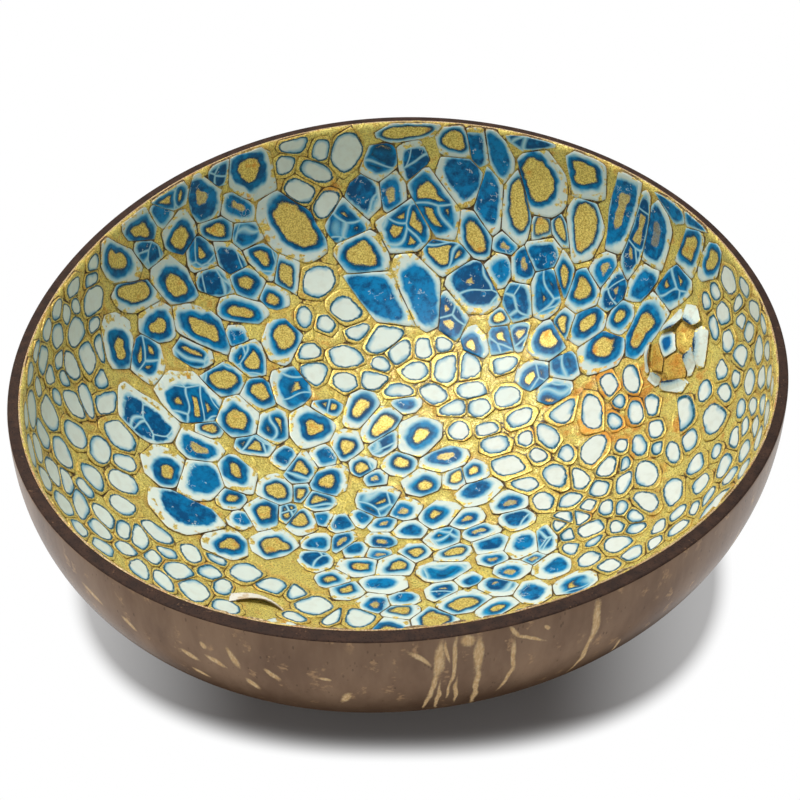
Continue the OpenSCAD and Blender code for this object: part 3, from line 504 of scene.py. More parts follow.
@dataclass(frozen=True)
class GoldFlake(Finish):
    """Loose specks of gold leaf."""

    def sockets(self, tree: Tree) -> Inputs:
        """Paints the surface.

        Args:
            tree: The material's tree.

        Returns:
            What goes into the sockets of the Principled shader.
        """
        clouds = tree.noise(tree.place(), 1.2, 2).ease(0.35, 0.65)
        return {
            "Base Color": tree.mix(clouds, paint(226, 168, 58), paint(255, 222, 130)),
            "Metallic": 1.0,
            "Roughness": clouds * 0.12 + 0.2,
        }


@dataclass(frozen=True)
class ShardEdge(Finish):
    """The broken edge of a shard, stained by the lacquer."""

    dark: Colour = paint(132, 108, 70)
    light: Colour = paint(214, 192, 140)

    def sockets(self, tree: Tree) -> Inputs:
        """Paints the surface.

        Args:
            tree: The material's tree.

        Returns:
            What goes into the sockets of the Principled shader.
        """
        stain = tree.noise(tree.place(), 0.6, 3).ease(0.45, 0.65)
        return {
            "Base Color": tree.mix(stain, self.dark, self.light),
            "Roughness": stain * -0.2 + 0.6,
            "Metallic": stain * 0.5,
        }


@dataclass(frozen=True)
class Eggshell(Finish):
    """What the shards share: a clear coat over fine pores, with gold leaf where their drawing has it."""

    white: Colour = paint(230, 240, 228)
    leaf: tuple[Colour, Colour] = (paint(194, 160, 72), paint(255, 233, 132))

    def drawing(self, tree: Tree, place: Wire) -> tuple[Wire, Wire]:
        """Returns the shard's colour and where it is gold."""
        raise NotImplementedError

    def sockets(self, tree: Tree) -> Inputs:
        """Paints the surface.

        Args:
            tree: The material's tree.

        Returns:
            What goes into the sockets of the Principled shader.
        """
        place = tree.place()
        colour, gold = self.drawing(tree, place)
        pores = tree.cells(place, 0.3).ease(0.3, 0.12)
        grain = tree.noise(place, 0.2, 3, 0.7)
        leaf = tree.mix(tree.noise(place, 0.3, 3, 0.75).ease(0.38, 0.62), *self.leaf)
        return {
            "Base Color": tree.mix(gold, colour, STAIN.over(tree, place, leaf)),
            "Metallic": gold * 0.35,
            "Roughness": gold * 0.05 + (grain * 0.1 + 0.3),
            "Specular IOR Level": 0.2,
            "Coat Weight": 0.06,
            "Coat Roughness": 0.25,
            "Normal": tree.bump(grain * 0.6 - pores * 0.4, 0.02),
        }


@dataclass(frozen=True)
class CellEggshell(Eggshell):
    """White shell with a painted cell, which pale lines cut into several on some shards."""

    pale_band: Colour = paint(100, 184, 212)
    margin_share: float = 0.15
    margin_spread: float = 0.14
    cell: float = 7
    split_share: float = 0.3
    line_sway: float = 6
    line_steepness: float = 1.6
    half_line: float = 0.2
    far: float = 20

    def inside(self, tree: Tree, place: Wire, swell: Wire) -> tuple[Wire, Wire]:
        """Measures the painted cells.

        Args:
            tree: The tree.
            place: The place on the object.
            swell: How much nearer to the shard's edge the cell reaches there.

        Returns:
            How deep inside the shard or from a pale line each place is, and the width of the white margin.
        """
        tone = tree.value("tone")
        margin = tree.value("girth") * (tone * self.margin_spread + self.margin_share)
        bent = tree.swayed(place, place, self.cell, self.line_sway, 0)
        from_line = tree.cells(bent, self.cell, "DISTANCE_TO_EDGE") * self.cell * self.line_steepness
        single = (tone > self.split_share) * self.far
        deep = tree.value("inset") + swell
        return deep.math("SMOOTH_MIN", from_line + margin + single - self.half_line, 0.4), margin

    def layers(self, tree: Tree, rim: Wire, white: Any, body: Wire, edge: tuple[float, float]) -> Wire:
        """Returns the colours from the margin inwards: white, a pale band, and the body from its edge on."""
        colour = tree.mix(rim.ease(-0.55, 0.15) * 0.85, white, self.pale_band)
        return tree.mix(rim.ease(*edge), colour, body)

    def lapped(self, tree: Tree, place: Wire, edge: Wire, gold: Wire) -> Wire:
        """Returns where the shard is gold, with the lacquer that laps its edge here and there."""
        lap = edge.ease(0.1, 0.02) * tree.noise(place, 1.8, 2).ease(0.5, 0.6)
        return gold.math("MAXIMUM", lap)


@dataclass(frozen=True)
class RingedEggshell(CellEggshell):
    """A white margin, a blue ring with a navy inner edge, and a gold middle."""

    blue: Colour = paint(0, 84, 134)
    navy: Colour = paint(0, 50, 76)
    pale_blue: Colour = paint(0, 134, 190)
    margin_share: float = 0.14
    gold_share: float = 0.43

    def drawing(self, tree: Tree, place: Wire) -> tuple[Wire, Wire]:
        """Paints the shard.

        Args:
            tree: The material's tree.
            place: The place on the object.

        Returns:
            The shard's colour, and where it is gold.
        """
        girth = tree.value("girth")
        fuzz = tree.wander(place, 0.2, 0.5, 3, 0.75)
        deep, margin = self.inside(tree, place, tree.wander(place, 2.6, girth, 1) * 0.42)
        middle = girth * (tree.value("other") * 0.26 + self.gold_share)
        white = tree.mix(tree.noise(place, 1.1, 3).ease(0.4, 0.75) * 0.4, self.white, paint(190, 212, 216))
        ring = tree.mix(tree.noise(place, 1.8, 4, 0.65).ease(0.34, 0.68), self.blue, self.pale_blue)
        colour = self.layers(tree, deep + fuzz * 0.4 - margin, white, ring, (-0.08, 0.45))
        colour = tree.mix((deep + fuzz - middle).ease(-0.6, 0.02) * 0.85, colour, self.navy)
        gold = (deep + fuzz * 2.2 - middle).ease(-0.06, 0.32)
        return colour, self.lapped(tree, place, tree.value("inset") + fuzz * 0.4, gold)


@dataclass(frozen=True)
class BlueEggshell(CellEggshell):
    """A white margin round deep blue with a few fine scratches, and a gold fleck on some shards."""

    blue: Colour = paint(0, 130, 188)
    navy: Colour = paint(0, 76, 124)
    margin_share: float = 0.16

    def drawing(self, tree: Tree, place: Wire) -> tuple[Wire, Wire]:
        """Paints the shard.

        Args:
            tree: The material's tree.
            place: The place on the object.

        Returns:
            The shard's colour, and where it is gold.
        """
        girth, tone = tree.value("girth"), tree.value("tone")
        fuzz = tree.wander(place, 0.2, 0.4, 3, 0.75)
        deep, margin = self.inside(tree, place, tree.wander(place, 2.2, girth) * 0.4)
        shade = (tree.noise(place, 1.6, 4, 0.65) + tone * 0.2 - 0.1).ease(0.36, 0.66)
        body = tree.mix(shade, self.navy, self.blue)
        colour = self.layers(tree, deep + fuzz * 0.5 - margin, self.white, body, (-0.06, 0.4))
        scratch = (tree.noise(place, 3.2, 3, 0.7) - 0.5).math("ABSOLUTE").ease(0.016, 0.004)
        scratch = scratch * tree.noise(place, 2.4, 2).ease(0.56, 0.62)
        colour = tree.mix(scratch * 0.6, colour, self.white)
        core = (deep + fuzz * 2.6 - girth * 0.72).ease(-0.05, 0.25) * tree.value("other").ease(0.5, 0.6)
        return colour, self.lapped(tree, place, tree.value("inset") + fuzz * 0.4, core * 0.8)


@dataclass(frozen=True)
class WhiteEggshell(Eggshell):
    """Cream white inside a light blue halo and a thin teal line, lapped by the gold ground."""

    halo: Colour = paint(82, 164, 196)
    line: Colour = paint(8, 84, 108)
    lap: float = 0.1

    def drawing(self, tree: Tree, place: Wire) -> tuple[Wire, Wire]:
        """Paints the shard.

        Args:
            tree: The material's tree.
            place: The place on the object.

        Returns:
            The shard's colour, and where it is gold.
        """
        girth = tree.value("girth")
        fuzz = tree.wander(place, 0.2, 0.22, 3, 0.75)
        side = tree.noise(place, 4.5, 1).ease(0.38, 0.62)
        deep = tree.value("inset") + tree.wander(place, 1.3, 0.6) * girth.ease(0.6, 2, "LINEAR") + fuzz
        start = girth * (tree.value("other") * 0.14 + self.lap)
        cream = tree.mix(tree.noise(place, 1.6, 3).ease(0.4, 0.75) * 0.4, self.white, paint(214, 214, 196))
        cream = tree.mix(tree.value("tone") * 0.25, cream, paint(206, 216, 208))
        fade = ((deep - start - 0.12) / (side * 0.85 + 0.2)).ease(1, 0)
        colour = tree.mix(fade * (side * 0.4 + 0.5), cream, self.halo)
        broken = tree.noise(place, 0.9, 3).ease(0.32, 0.5) * 0.45 + 0.55
        colour = tree.mix((deep - start).ease(0.42, 0.2) * broken, colour, self.line)
        return colour, (deep + fuzz - start).ease(0.04, -0.06)


@dataclass(frozen=True)
class PetalEggshell(Eggshell):
    """White, with a deep blue line in a pale band along the raised inner edge."""

    line: Colour = paint(0, 56, 92)
    band: Colour = paint(92, 168, 200)
    line_share: float = 0.8

    def drawing(self, tree: Tree, place: Wire) -> tuple[Wire, Wire]:
        """Paints the shard.

        Args:
            tree: The material's tree.
            place: The place on the object.

        Returns:
            The shard's colour, and where it is gold.
        """
        fuzz = tree.wander(place, 0.3, 0.3, 3, 0.75)
        colour = tree.mix(tree.noise(place, 0.9, 3).ease(0.45, 0.7) * 0.5, self.white, paint(206, 198, 176))
        past = tree.value("inner") + fuzz - self.line_share
        colour = tree.mix(past.ease(-0.22, 0.02) * 0.5, colour, self.band)
        colour = tree.mix(past.ease(0, 0.1), colour, self.line)
        edge = tree.value("inset") + fuzz * 0.3
        return colour, edge.ease(0.14, 0.04) * tree.noise(place, 1.2, 2).ease(0.48, 0.56)


@dataclass(frozen=True)
class BareEggshell(Eggshell):
    """Bare white shell with a tan stain and worn edges, and no gold."""

    def drawing(self, tree: Tree, place: Wire) -> tuple[Wire, Wire]:
        """Paints the shard.

        Args:
            tree: The material's tree.
            place: The place on the object.

        Returns:
            The shard's colour, and where it is gold.
        """
        stain = tree.noise(place, 2.4, 3, 0.6).ease(0.5, 0.62)
        colour = tree.mix(stain * 0.7, paint(246, 240, 226), paint(208, 172, 118))
        worn = (tree.value("inset") + tree.wander(place, 0.4, 0.4, 3)).ease(0.14, 0.02)
        return tree.mix(worn * 0.8, colour, paint(110, 84, 60)), stain * 0


@dataclass(frozen=True)
class PaleFloor(Finish):
    """The floor, which shows the bowl's shadow on an oval round its foot and fades to white beyond it."""

    radii: tuple[float, float] = (63.5, 54)
    power: float = 2.4
    edge: tuple[float, float] = (0.82, 0.99)
    fade_power: float = 2.7
    side_edge: tuple[float, float] = (0.37, 0.95)
    side_share: float = 0.38
    seen_grey: Colour = (0.55, 0.53, 0.52)
    lit_grey: Colour = (0.66, 0.64, 0.62)

    def surface(self, tree: Tree) -> Wire:
        """Paints the floor.

        Args:
            tree: The material's tree.

        Returns:
            The shader.
        """
        path = tree.node("ShaderNodeLightPath", {}, {})
        seen = [path.output(f"Is {ray} Ray") for ray in ("Camera", "Glossy", "Transmission")]
        straight = (seen[0] + seen[1] + seen[2]).math("MINIMUM", 1)
        parts = tree.parts(tree.place(1 / self.radii[0], 1 / self.radii[1]))
        x, y = (part.math("ABSOLUTE") for part in parts[:2])
        oval = (x**self.power + y**self.power) ** (1 / self.power)
        # Painted light: the shadow is lifted part way to white at the oval's sides.
        at_side = x.ease(*self.side_edge) * self.side_share
        clear = (oval.ease(*self.edge) ** self.fade_power).math("MAXIMUM", at_side)
        glow = tree.node("ShaderNodeEmission", {}, {"Color": (1, 1, 1, 1)})
        colour = tree.mix(straight, self.lit_grey, self.seen_grey)
        plain = tree.node("ShaderNodeBsdfDiffuse", {}, {"Color": colour})
        return tree.node("ShaderNodeMixShader", {}, {0: straight * clear, 1: plain, 2: glow})


# Shape


def toward(angle: Any) -> np.ndarray:
    """Returns steps of length 1 in some directions, as rows of x and y."""
    return np.stack((np.cos(angle), np.sin(angle)), axis=-1)


def spokes(around: int) -> np.ndarray:
    """Returns even directions all round, as rows of x and y."""
    return toward(np.linspace(0, TURN, around, endpoint=False))


Waves = tuple[tuple[int, float, float], ...]
OUTLINE_WAVES: Waves = ((2, -0.012, 0.028), (3, 0.006, -0.014))
RIM_WAVES: Waves = ((1, -0.06, -0.294), (2, -0.07, -0.045))
TINY = 1e-6


def waved(
    a: Any, waves: Waves, cosine: Callable[[Any], Any] = np.cos, sine: Callable[[Any], Any] = np.sin,
) -> Any:
    """Adds waves to 1.

    Args:
        a: The azimuth, as numbers or as a wire.
        waves: How often each goes round, and how much of its cosine and of its sine is added.
        cosine: What makes a cosine.
        sine: What makes a sine.

    Returns:
        The sum at the azimuth.
    """
    return sum((cosine(a * k) * even + sine(a * k) * odd for k, even, odd in waves), 1)


@dataclass(frozen=True)
class Bowl:
    """Sizes of the bowl, the curves that its walls follow, and the way to its inside rolled out flat."""

    rim_d: float = 138
    height: float = 48
    foot_depth: float = 1.9
    rim_w: float = 1.84
    floor_t: float = 2.7
    rim_round: float = 0.4
    lining_gap: float = 0.04
    lining_t: float = 0.3
    glue_gap: float = 0.2
    shard_t: float = 0.32
    rim_gap: float = 0.5
    depth_power: float = 2.38
    radius_power: float = 1.88
    curve_steps: int = 60
    halvings: int = 48
    steep_t: float = 0.8

    @property
    def bed_depth(self) -> float:
        """Returns the depth of a shard's underside."""
        return self.lining_gap + self.lining_t + self.glue_gap

    @property
    def mosaic_depth(self) -> float:
        """Returns the depth of the tops of the shards."""
        return self.bed_depth + self.shard_t

    def outline_share(self, a: Any) -> Any:
        """Returns the share of the mean radius at azimuth a."""
        return waved(a, OUTLINE_WAVES)

    def rim_share(self, a: Any) -> Any:
        """Returns the share of the mean rim width at azimuth a."""
        return waved(a, RIM_WAVES)

    def fall_share(self, t: Any) -> Any:
        """Returns how far below the rim the curve is at t, as a share."""
        return np.maximum(np.cos(t), 0) ** (2 / self.depth_power)

    def reach_share(self, t: Any) -> Any:
        """Returns how far out the curve is at t, as a share."""
        return np.maximum(np.sin(t), 0) ** (2 / self.radius_power)

    def curve(self) -> tuple[np.ndarray, np.ndarray]:
        """Measures the inside's curve.

        Returns:
            Its steps in t, and the rolled-out length up to each.
        """
        t = np.linspace(0, math.pi / 2, self.curve_steps + 1)
        x = (self.rim_d / 2 - self.rim_w - self.mosaic_depth) * self.reach_share(t)
        y = (self.height - self.floor_t - self.mosaic_depth) * (1 - self.fall_share(t))
        return t, np.concatenate(([0], np.cumsum(np.hypot(np.diff(x), np.diff(y)))))

    @property
    def rolled_r(self) -> float:
        """Returns the rolled-out length from the middle of the floor to the rim."""
        return float(self.curve()[1][-1])

    def on_bowl(self, flat: np.ndarray, depth: Any) -> np.ndarray:
        """Puts points of the rolled-out inside back on the bowl.

        Args:
            flat: Points, as rows of x and y.
            depth: The depth of each, or of all.

        Returns:
            The points, as rows of x, y and z.
        """
        a = np.arctan2(flat[..., 1], flat[..., 0])
        steps, lengths = self.curve()
        t = np.interp(np.hypot(flat[..., 0], flat[..., 1]), lengths, steps)
        out = self.rim_d / 2 * self.outline_share(a) - self.rim_w * self.rim_share(a) - depth
        r = out * self.reach_share(t)
        z = self.height - (self.height - self.floor_t - depth) * self.fall_share(t)
        return np.stack((r * np.cos(a), r * np.sin(a), z), axis=-1)

    def off_bowl(self, points: np.ndarray) -> tuple[np.ndarray, np.ndarray]:
        """Rolls points near the inside out flat.

        Args:
            points: Points, as rows of x, y and z.

        Returns:
            Their places, as rows of x and y, and their depths.
        """
        a = np.arctan2(points[:, 1], points[:, 0])
        r, drop = np.hypot(points[:, 0], points[:, 1]), self.height - points[:, 2]
        out = self.rim_d / 2 * self.outline_share(a) - self.rim_w * self.rim_share(a)
        low, high = np.full(len(r), TINY), np.full(len(r), math.pi / 2 - TINY)
        for _ in range(self.halvings):
            t = (low + high) / 2
            near = r / self.reach_share(t) - drop / self.fall_share(t) < out - (self.height - self.floor_t)
            high = np.where(near, t, high)
            low = np.where(near, low, t)
        steep = out - r / self.reach_share(t)
        level = self.height - self.floor_t - drop / self.fall_share(t)
        steps, lengths = self.curve()
        rho = np.interp(t, steps, lengths)
        return toward(a) * rho[:, None], np.where(t > self.steep_t, steep, level)


@dataclass
class Sheet:
    """Points, triangles and values of a mesh that is being put together."""

    points: list[np.ndarray] = field(default_factory=list)
    triangles: list[np.ndarray] = field(default_factory=list)
    finishes: list[np.ndarray] = field(default_factory=list)
    values: dict[str, list[np.ndarray]] = field(default_factory=dict)
    count: int = 0

    def add(
        self, rows: np.ndarray, first: np.ndarray, last: np.ndarray, finishes: list[int], **values: Any,
    ) -> None:
        """Adds a closed form made of rings, with a point at either end.

        Args:
            rows: The rings in millimetres, as ring, step round it and coordinate.
            first: The point that closes the first ring.
            last: The point that closes the last ring.
            finishes: The finish number of each band, from the first point to the last.
            values: A value for each point: rings first, then the two ends.
        """
        rings, around = rows.shape[:2]
        i = np.arange(around)
        j = (i + 1) % around
        start = np.arange(rings - 1)[:, None] * around
        a, b = start + i, start + j
        body = np.stack((a, b, b + around, a, b + around, a + around), axis=-1).reshape(-1, 3)
        pole, top = rings * around, (rings - 1) * around
        start = np.stack((j, i, i * 0 + pole), axis=-1)
        end = np.stack((top + i, top + j, i * 0 + pole + 1), axis=-1)
        self.points.append(np.concatenate((rows.reshape(-1, 3), [first, last])) * MM)
        self.triangles.append(np.concatenate((start, body, end)) + self.count)
        bands = [around] + [2 * around] * (rings - 1) + [around]
        self.finishes.append(np.repeat(finishes, bands))
        for name, value in values.items():
            self.values.setdefault(name, []).append(np.broadcast_to(value, rings * around + 2))
        self.count += rings * around + 2

    def mesh(self, name: str) -> bpy.types.Mesh:
        """Puts the mesh together.

        Args:
            name: Its name.

        Returns:
            The mesh.
        """
        made = bpy.data.meshes.new(name)
        points, triangles = np.concatenate(self.points), np.concatenate(self.triangles)
        made.vertices.add(len(points))
        made.vertices.foreach_set("co", points.ravel())
        made.loops.add(triangles.size)
        made.loops.foreach_set("vertex_index", triangles.ravel())
        made.polygons.add(len(triangles))
        made.polygons.foreach_set("loop_start", np.arange(0, triangles.size, 3))
        made.polygons.foreach_set("material_index", np.concatenate(self.finishes))
        made.polygons.foreach_set("use_smooth", np.ones(len(triangles), dtype=bool))
        for value_name, parts in self.values.items():
            values = np.concatenate(parts).astype(np.float32)
            made.attributes.new(value_name, "FLOAT", "POINT").data.foreach_set("value", values)
        made.update(calc_edges=True)
        return made


def in_scene(name: str, data: Any) -> bpy.types.Object:
    """Puts a new object into the scene.

    Args:
        name: Its name.
        data: Its mesh, lamp or camera.

    Returns:
        The object.
    """
    made = bpy.data.objects.new(name, data)
    bpy.context.scene.collection.objects.link(made)
    return made


def place_piece(mesh: bpy.types.Mesh, finishes: Iterable[Finish], slot: str, *nodes: str) -> bpy.types.Object:
    """Puts a finished piece into the scene.

    Args:
        mesh: Its mesh, which gives it its name.
        finishes: Its finishes in the order of the mesh's finish numbers, or none where the mesh has them.
        slot: The name of a material slot, which is not used.
        nodes: The model's nodes that it stands for.

    Returns:
        The piece.
    """
    piece = in_scene(mesh.name, mesh)
    for finish in finishes:
        mesh.materials.append(finish.material())
    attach(piece, "root")
    if nodes:
        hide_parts(*nodes)
    LOG.info("%s: %d triangles", piece.name, sum(len(p.vertices) - 2 for p in mesh.polygons))
    return piece


# The least bend at a corner of an outline
STRAIGHT = math.radians(3)
# How near the rim a side is brought to it, and how far it then moves
RIM_NEAR = 0.25
RIM_REACH = 0.3
# The levels inside an outline: how square and how even in width they are, the outermost and the innermost
LEVEL_SQUARE = 5
EVEN = 0.65
OUTER_LEVEL = 1.04
AT_MIDDLE = 1e-4


@dataclass(frozen=True)
class Outline:
    """A shard's outline on the rolled-out inside: its middle, and the way to each side and how far it is."""

    middle: np.ndarray
    sides: np.ndarray
    reach: np.ndarray

    @classmethod
    def round(cls, points: np.ndarray, grow: float, edge: float) -> Outline:
        """Finds the outline of some points.

        Args:
            points: Places on the rolled-out inside.
            grow: How far each side moves out, which narrows the cracks.
            edge: The rolled-out length beyond which a side is brought to the rim.

        Returns:
            The outline.
        """
        corners = points[convex_hull_2d([Vector(p) for p in points])]
        middle = corners.mean(axis=0)
        angle = np.arctan2(*(corners - middle).T[::-1])
        corners = corners[np.argsort(angle)]
        run = np.roll(corners, -1, axis=0) - corners
        turn = np.arctan2(run[:, 1], run[:, 0])
        bend = np.abs((turn - np.roll(turn, 1) + math.pi) % TURN - math.pi)
        corners = corners[bend > STRAIGHT]
        run = np.roll(corners, -1, axis=0) - corners
        sides = np.stack((run[:, 1], -run[:, 0]), axis=-1) / np.linalg.norm(run, axis=1)[:, None]
        reach = ((corners - middle) * sides).sum(axis=1)
        at_rim = (sides @ middle) + reach > edge
        return cls(middle, sides, reach + grow + at_rim * RIM_REACH)

    def radius(self, angle: np.ndarray, square: float) -> np.ndarray:
        """Returns the radius in some directions, with corners that are sharper for a larger square."""
        facing = np.maximum(toward(angle) @ self.sides.T, 0)
        return ((facing / self.reach) ** square).sum(axis=1) ** (-1 / square)

    def corner_angles(self) -> np.ndarray:
        """Finds the corners.

        Returns:
            The direction of each from the middle.
        """
        pairs = np.stack((self.sides, np.roll(self.sides, -1, axis=0)), axis=1)
        reaches = np.stack((self.reach, np.roll(self.reach, -1)), axis=1)
        corners = np.linalg.solve(pairs, reaches[..., None])[..., 0]
        return np.arctan2(corners[:, 1], corners[:, 0]) % TURN

    def inset(self, points: np.ndarray, shift: np.ndarray) -> np.ndarray:
        """Measures how deep inside the outline points are, on rounded levels.

        Args:
            points: Places on the rolled-out inside.
            shift: How far the middle of the levels is moved.

        Returns:
            The distance of each from the edge.
        """
        from_middle = points - self.middle - shift
        facing = np.maximum(from_middle @ self.sides.T, 0) / self.reach
        share = (facing**LEVEL_SQUARE).sum(axis=-1) ** (1 / LEVEL_SQUARE)
        out = np.linalg.norm(from_middle, axis=-1) / np.maximum(share, TINY)
        least = self.reach.min()
        width = np.where(share > AT_MIDDLE, EVEN * least + (1 - EVEN) * out, least)
        return (1 - share / OUTER_LEVEL) * width

    def room(self, points: np.ndarray) -> np.ndarray:
        """Returns how far points are outside the outline, or less than 0 inside it."""
        return ((points - self.middle) @ self.sides.T - self.reach).max(axis=-1)


def outlines_of(node: str, bowl: Bowl, grow: float) -> list[Outline]:
    """Finds the outline of each loose solid of a node.

    Args:
        node: The node's name.
        bowl: The bowl that the solids lie in.
        grow: How far each side moves out.

    Returns:
        The outlines, in the order of the node's solids.
    """
    mesh = FRAME["nodes"][node].data
    points = np.empty(len(mesh.vertices) * 3)
    mesh.vertices.foreach_get("co", points)
    mesh.calc_loop_triangles()
    corners = np.empty(len(mesh.loop_triangles) * 3, dtype=int)
    mesh.loop_triangles.foreach_get("vertices", corners)
    keys, same = np.unique(np.round(points.reshape(-1, 3) / MM, 3), axis=0, return_inverse=True)
    triangles = same.ravel()[corners].reshape(-1, 3)
    part = np.arange(len(keys))
    while True:
        lowest = part[triangles].min(axis=1)
        merged = part.copy()
        np.minimum.at(merged, triangles.ravel(), np.repeat(lowest, 3))
        if (merged == part).all():
            break
        part = merged
    flat, _ = bowl.off_bowl(keys)
    edge = bowl.rolled_r - bowl.rim_gap - RIM_NEAR
    return [Outline.round(flat[part == number], grow, edge) for number in np.unique(part)]


@dataclass(frozen=True)
class ShardMaker:
    """Turns outlines into shards: plates with a rounded, slightly rough edge and a faint crown."""

    bowl: Bowl
    square: float = 44
    step: float = 0.6
    bevel: float = 0.06
    bevels_in: float = 2.5
    edge_drop: float = 0.8
    under_share: float = 0.5
    rough: float = 0.012
    crown: float = 0.03
    stray: float = 0.03
    drift: float = 0.0
    waves: int = 4
    probes: int = 181
    fewest: int = 18
    most: int = 48
    rings: tuple[float, ...] = (0.92, 0.81, 0.68, 0.53, 0.36, 0.18)

    def add(
        self, sheet: Sheet, outline: Outline, draw: np.random.Generator,
        lift: Callable[[np.ndarray], Any] | None = None, finishes: tuple[int, int] = (0, 1),
    ) -> np.ndarray:
        """Adds one shard to a sheet.

        Args:
            sheet: The sheet.
            outline: The shard's outline.
            draw: The source of its irregularities.
            lift: Extra depth at places on the rolled-out inside.
            finishes: The finish numbers of its face and of its edge.

        Returns:
            The places of its points on the rolled-out inside.
        """
        probe = np.linspace(0, TURN, self.probes)
        spots = toward(probe) * outline.radius(probe, self.square)[:, None]
        length = np.concatenate(([0], np.cumsum(np.linalg.norm(np.diff(spots, axis=0), axis=1))))
        around = int(np.clip(length[-1] / self.step, self.fewest, self.most))
        angle = np.interp(np.linspace(0, length[-1], around, endpoint=False), length, probe)
        for corner in outline.corner_angles():
            nearest = np.abs((angle - corner + math.pi) % TURN - math.pi).argmin()
            angle[nearest] = corner
        angle = np.sort(angle % TURN)
        waves = draw.uniform(-1, 1, self.waves), draw.uniform(0, TURN, self.waves)
        wobble = sum(w * np.sin((k + 3) * angle + p) for k, (w, p) in enumerate(zip(*waves)))
        reach = outline.radius(angle, self.square) * (1 + self.rough * wobble - self.rough)
        shares = [np.ones(around), 1 - self.bevel / reach]
        shares += [(1 - self.bevels_in * self.bevel / reach) * share for share in self.rings]
        direction = toward(angle)
        top = np.array([direction * (reach * share)[:, None] for share in shares]) + outline.middle
        under = outline.middle + (top[:1] - outline.middle) * self.under_share
        flat = np.concatenate((under, top[:1], top))
        tilt = draw.uniform(-1, 1, 2) * self.stray / reach.mean()
        raise_all = draw.uniform(-1, 1) * self.stray
        share = np.concatenate((np.ones((2, around)), shares))
        slope = (flat - outline.middle) @ tilt + raise_all + self.crown * (1 - share**2)
        depth = self.bowl.mosaic_depth + slope - self.bevel * self.edge_drop * (share == 1)
        depth[:2] = self.bowl.bed_depth
        ends = np.array([outline.middle, outline.middle])
        end_depth = np.array([self.bowl.bed_depth, self.bowl.mosaic_depth + raise_all + self.crown])
        if lift is not None:
            depth = depth + lift(flat)
            end_depth = end_depth + lift(ends)
        places = np.concatenate((flat.reshape(-1, 2), ends))
        inset = outline.inset(places, draw.uniform(-1, 1, 2) * outline.reach.min() * self.drift)
        poles = self.bowl.on_bowl(ends, end_depth)
        sheet.add(
            self.bowl.on_bowl(flat, depth), poles[0], poles[1],
            [finishes[1]] * 3 + [finishes[0]] * len(shares),
            inset=inset, girth=outline.reach.min(), tone=draw.uniform(), other=draw.uniform(),
        )
        return places


# Sub-assemblies


class Kind(Enum):
    """The ways in which a shard is painted, with its material slot."""

    RINGED = "ringed_eggshell"
    BLUE = "blue_eggshell"
    WHITE = "white_eggshell"


@dataclass(frozen=True)
class Group:
    """A group of shards: the node that holds them, how they are painted, and their finish."""

    node: str
    kind: Kind
    finish: Finish


# Painted shade: a dimmer copy of the eggshell white for the shards on the back wall.
SHADED_BACK_WHITE = paint(216, 228, 218)
BACK_BLUE = BlueEggshell("blue_back", SHADED_BACK_WHITE, margin_share=0.07)
FLOOR_RINGS = RingedEggshell("ringed_floor", pale_blue=paint(0, 124, 176))
FLOOR_BLUE = BlueEggshell("blue_floor", blue=paint(0, 120, 174))
LEFT_WHITE = WhiteEggshell("white_left", lap=0.04)
# Painted light: a brighter copy of the eggshell white, for the shards on the right wall and the front wall.
LIT_RIGHT_WHITE = WhiteEggshell("white_right", paint(238, 243, 232))
RINGED_PLACES: dict[str, Finish] = {
    "back_left": RingedEggshell("ringed_back_left", SHADED_BACK_WHITE, margin_share=0.07, gold_share=0.4),
    "floor_left": FLOOR_RINGS,
    "floor_front": RingedEggshell(
        "ringed_front", blue=paint(0, 98, 150), pale_blue=paint(0, 146, 200),
        margin_share=0.22, gold_share=0.48,
    ),
    "back": RingedEggshell("ringed_back", SHADED_BACK_WHITE, margin_share=0.05, gold_share=0.3),
    "back_right": RingedEggshell("ringed_back_right", SHADED_BACK_WHITE, margin_share=0.03, gold_share=0.43),
    "front_wall": FLOOR_RINGS,
}
BLUE_PLACES: dict[str, Finish] = {
    "back_left": BACK_BLUE,
    "floor_left": FLOOR_BLUE,
    "floor_front": BlueEggshell("blue_front", margin_share=0.24),
    "back": BACK_BLUE,
    "back_right": BACK_BLUE,
    "front_wall": FLOOR_BLUE,
}
WHITE_PLACES: dict[str, Finish] = {
    "left_wall": LEFT_WHITE,
    "back": LEFT_WHITE,
    "centre": WhiteEggshell("white_bright", lap=0.05),
    "right_wall": LIT_RIGHT_WHITE,
    "front_wall": LIT_RIGHT_WHITE,
}
GROUPS = tuple(
    Group(f"{start}_{place}", kind, finish)
    for start, kind, places in (
        ("ringed_shards", Kind.RINGED, RINGED_PLACES),
        ("solid_blue_shards", Kind.BLUE, BLUE_PLACES),
        ("white_shards", Kind.WHITE, WHITE_PLACES),
    )
    for place, finish in places.items()
)
BARE_EDGE = ShardEdge("shard_edge")
GILT_EDGE = ShardEdge("gilt_edge", paint(184, 150, 70), paint(244, 214, 124))


@dataclass
class Mosaic:
    """The shards bedded in the lacquer."""

    bowl: Bowl
    groups: tuple[Group, ...] = GROUPS
    grow: float = 0.16
    seed: int = 5
    drift: float = 0.3
    white_drift: float = 0.1
    outlines: list[Outline] = field(default_factory=list)

    def build(self) -> None:
        """Makes every group's shards and keeps their outlines for the lacquer between them."""
        for number, group in enumerate(self.groups):
            white = group.kind is Kind.WHITE
            maker = ShardMaker(self.bowl, drift=self.white_drift if white else self.drift)
            draw = np.random.default_rng(self.seed + number)
            sheet = Sheet()
            found = outlines_of(group.node, self.bowl, self.grow)
            for outline in found:
                maker.add(sheet, outline, draw)
            self.outlines += found
            name = group.node.replace("_shards", "_eggshell")
            finishes = (group.finish, GILT_EDGE if white else BARE_EDGE)
            place_piece(sheet.mesh(name), finishes, group.kind.value, group.node)


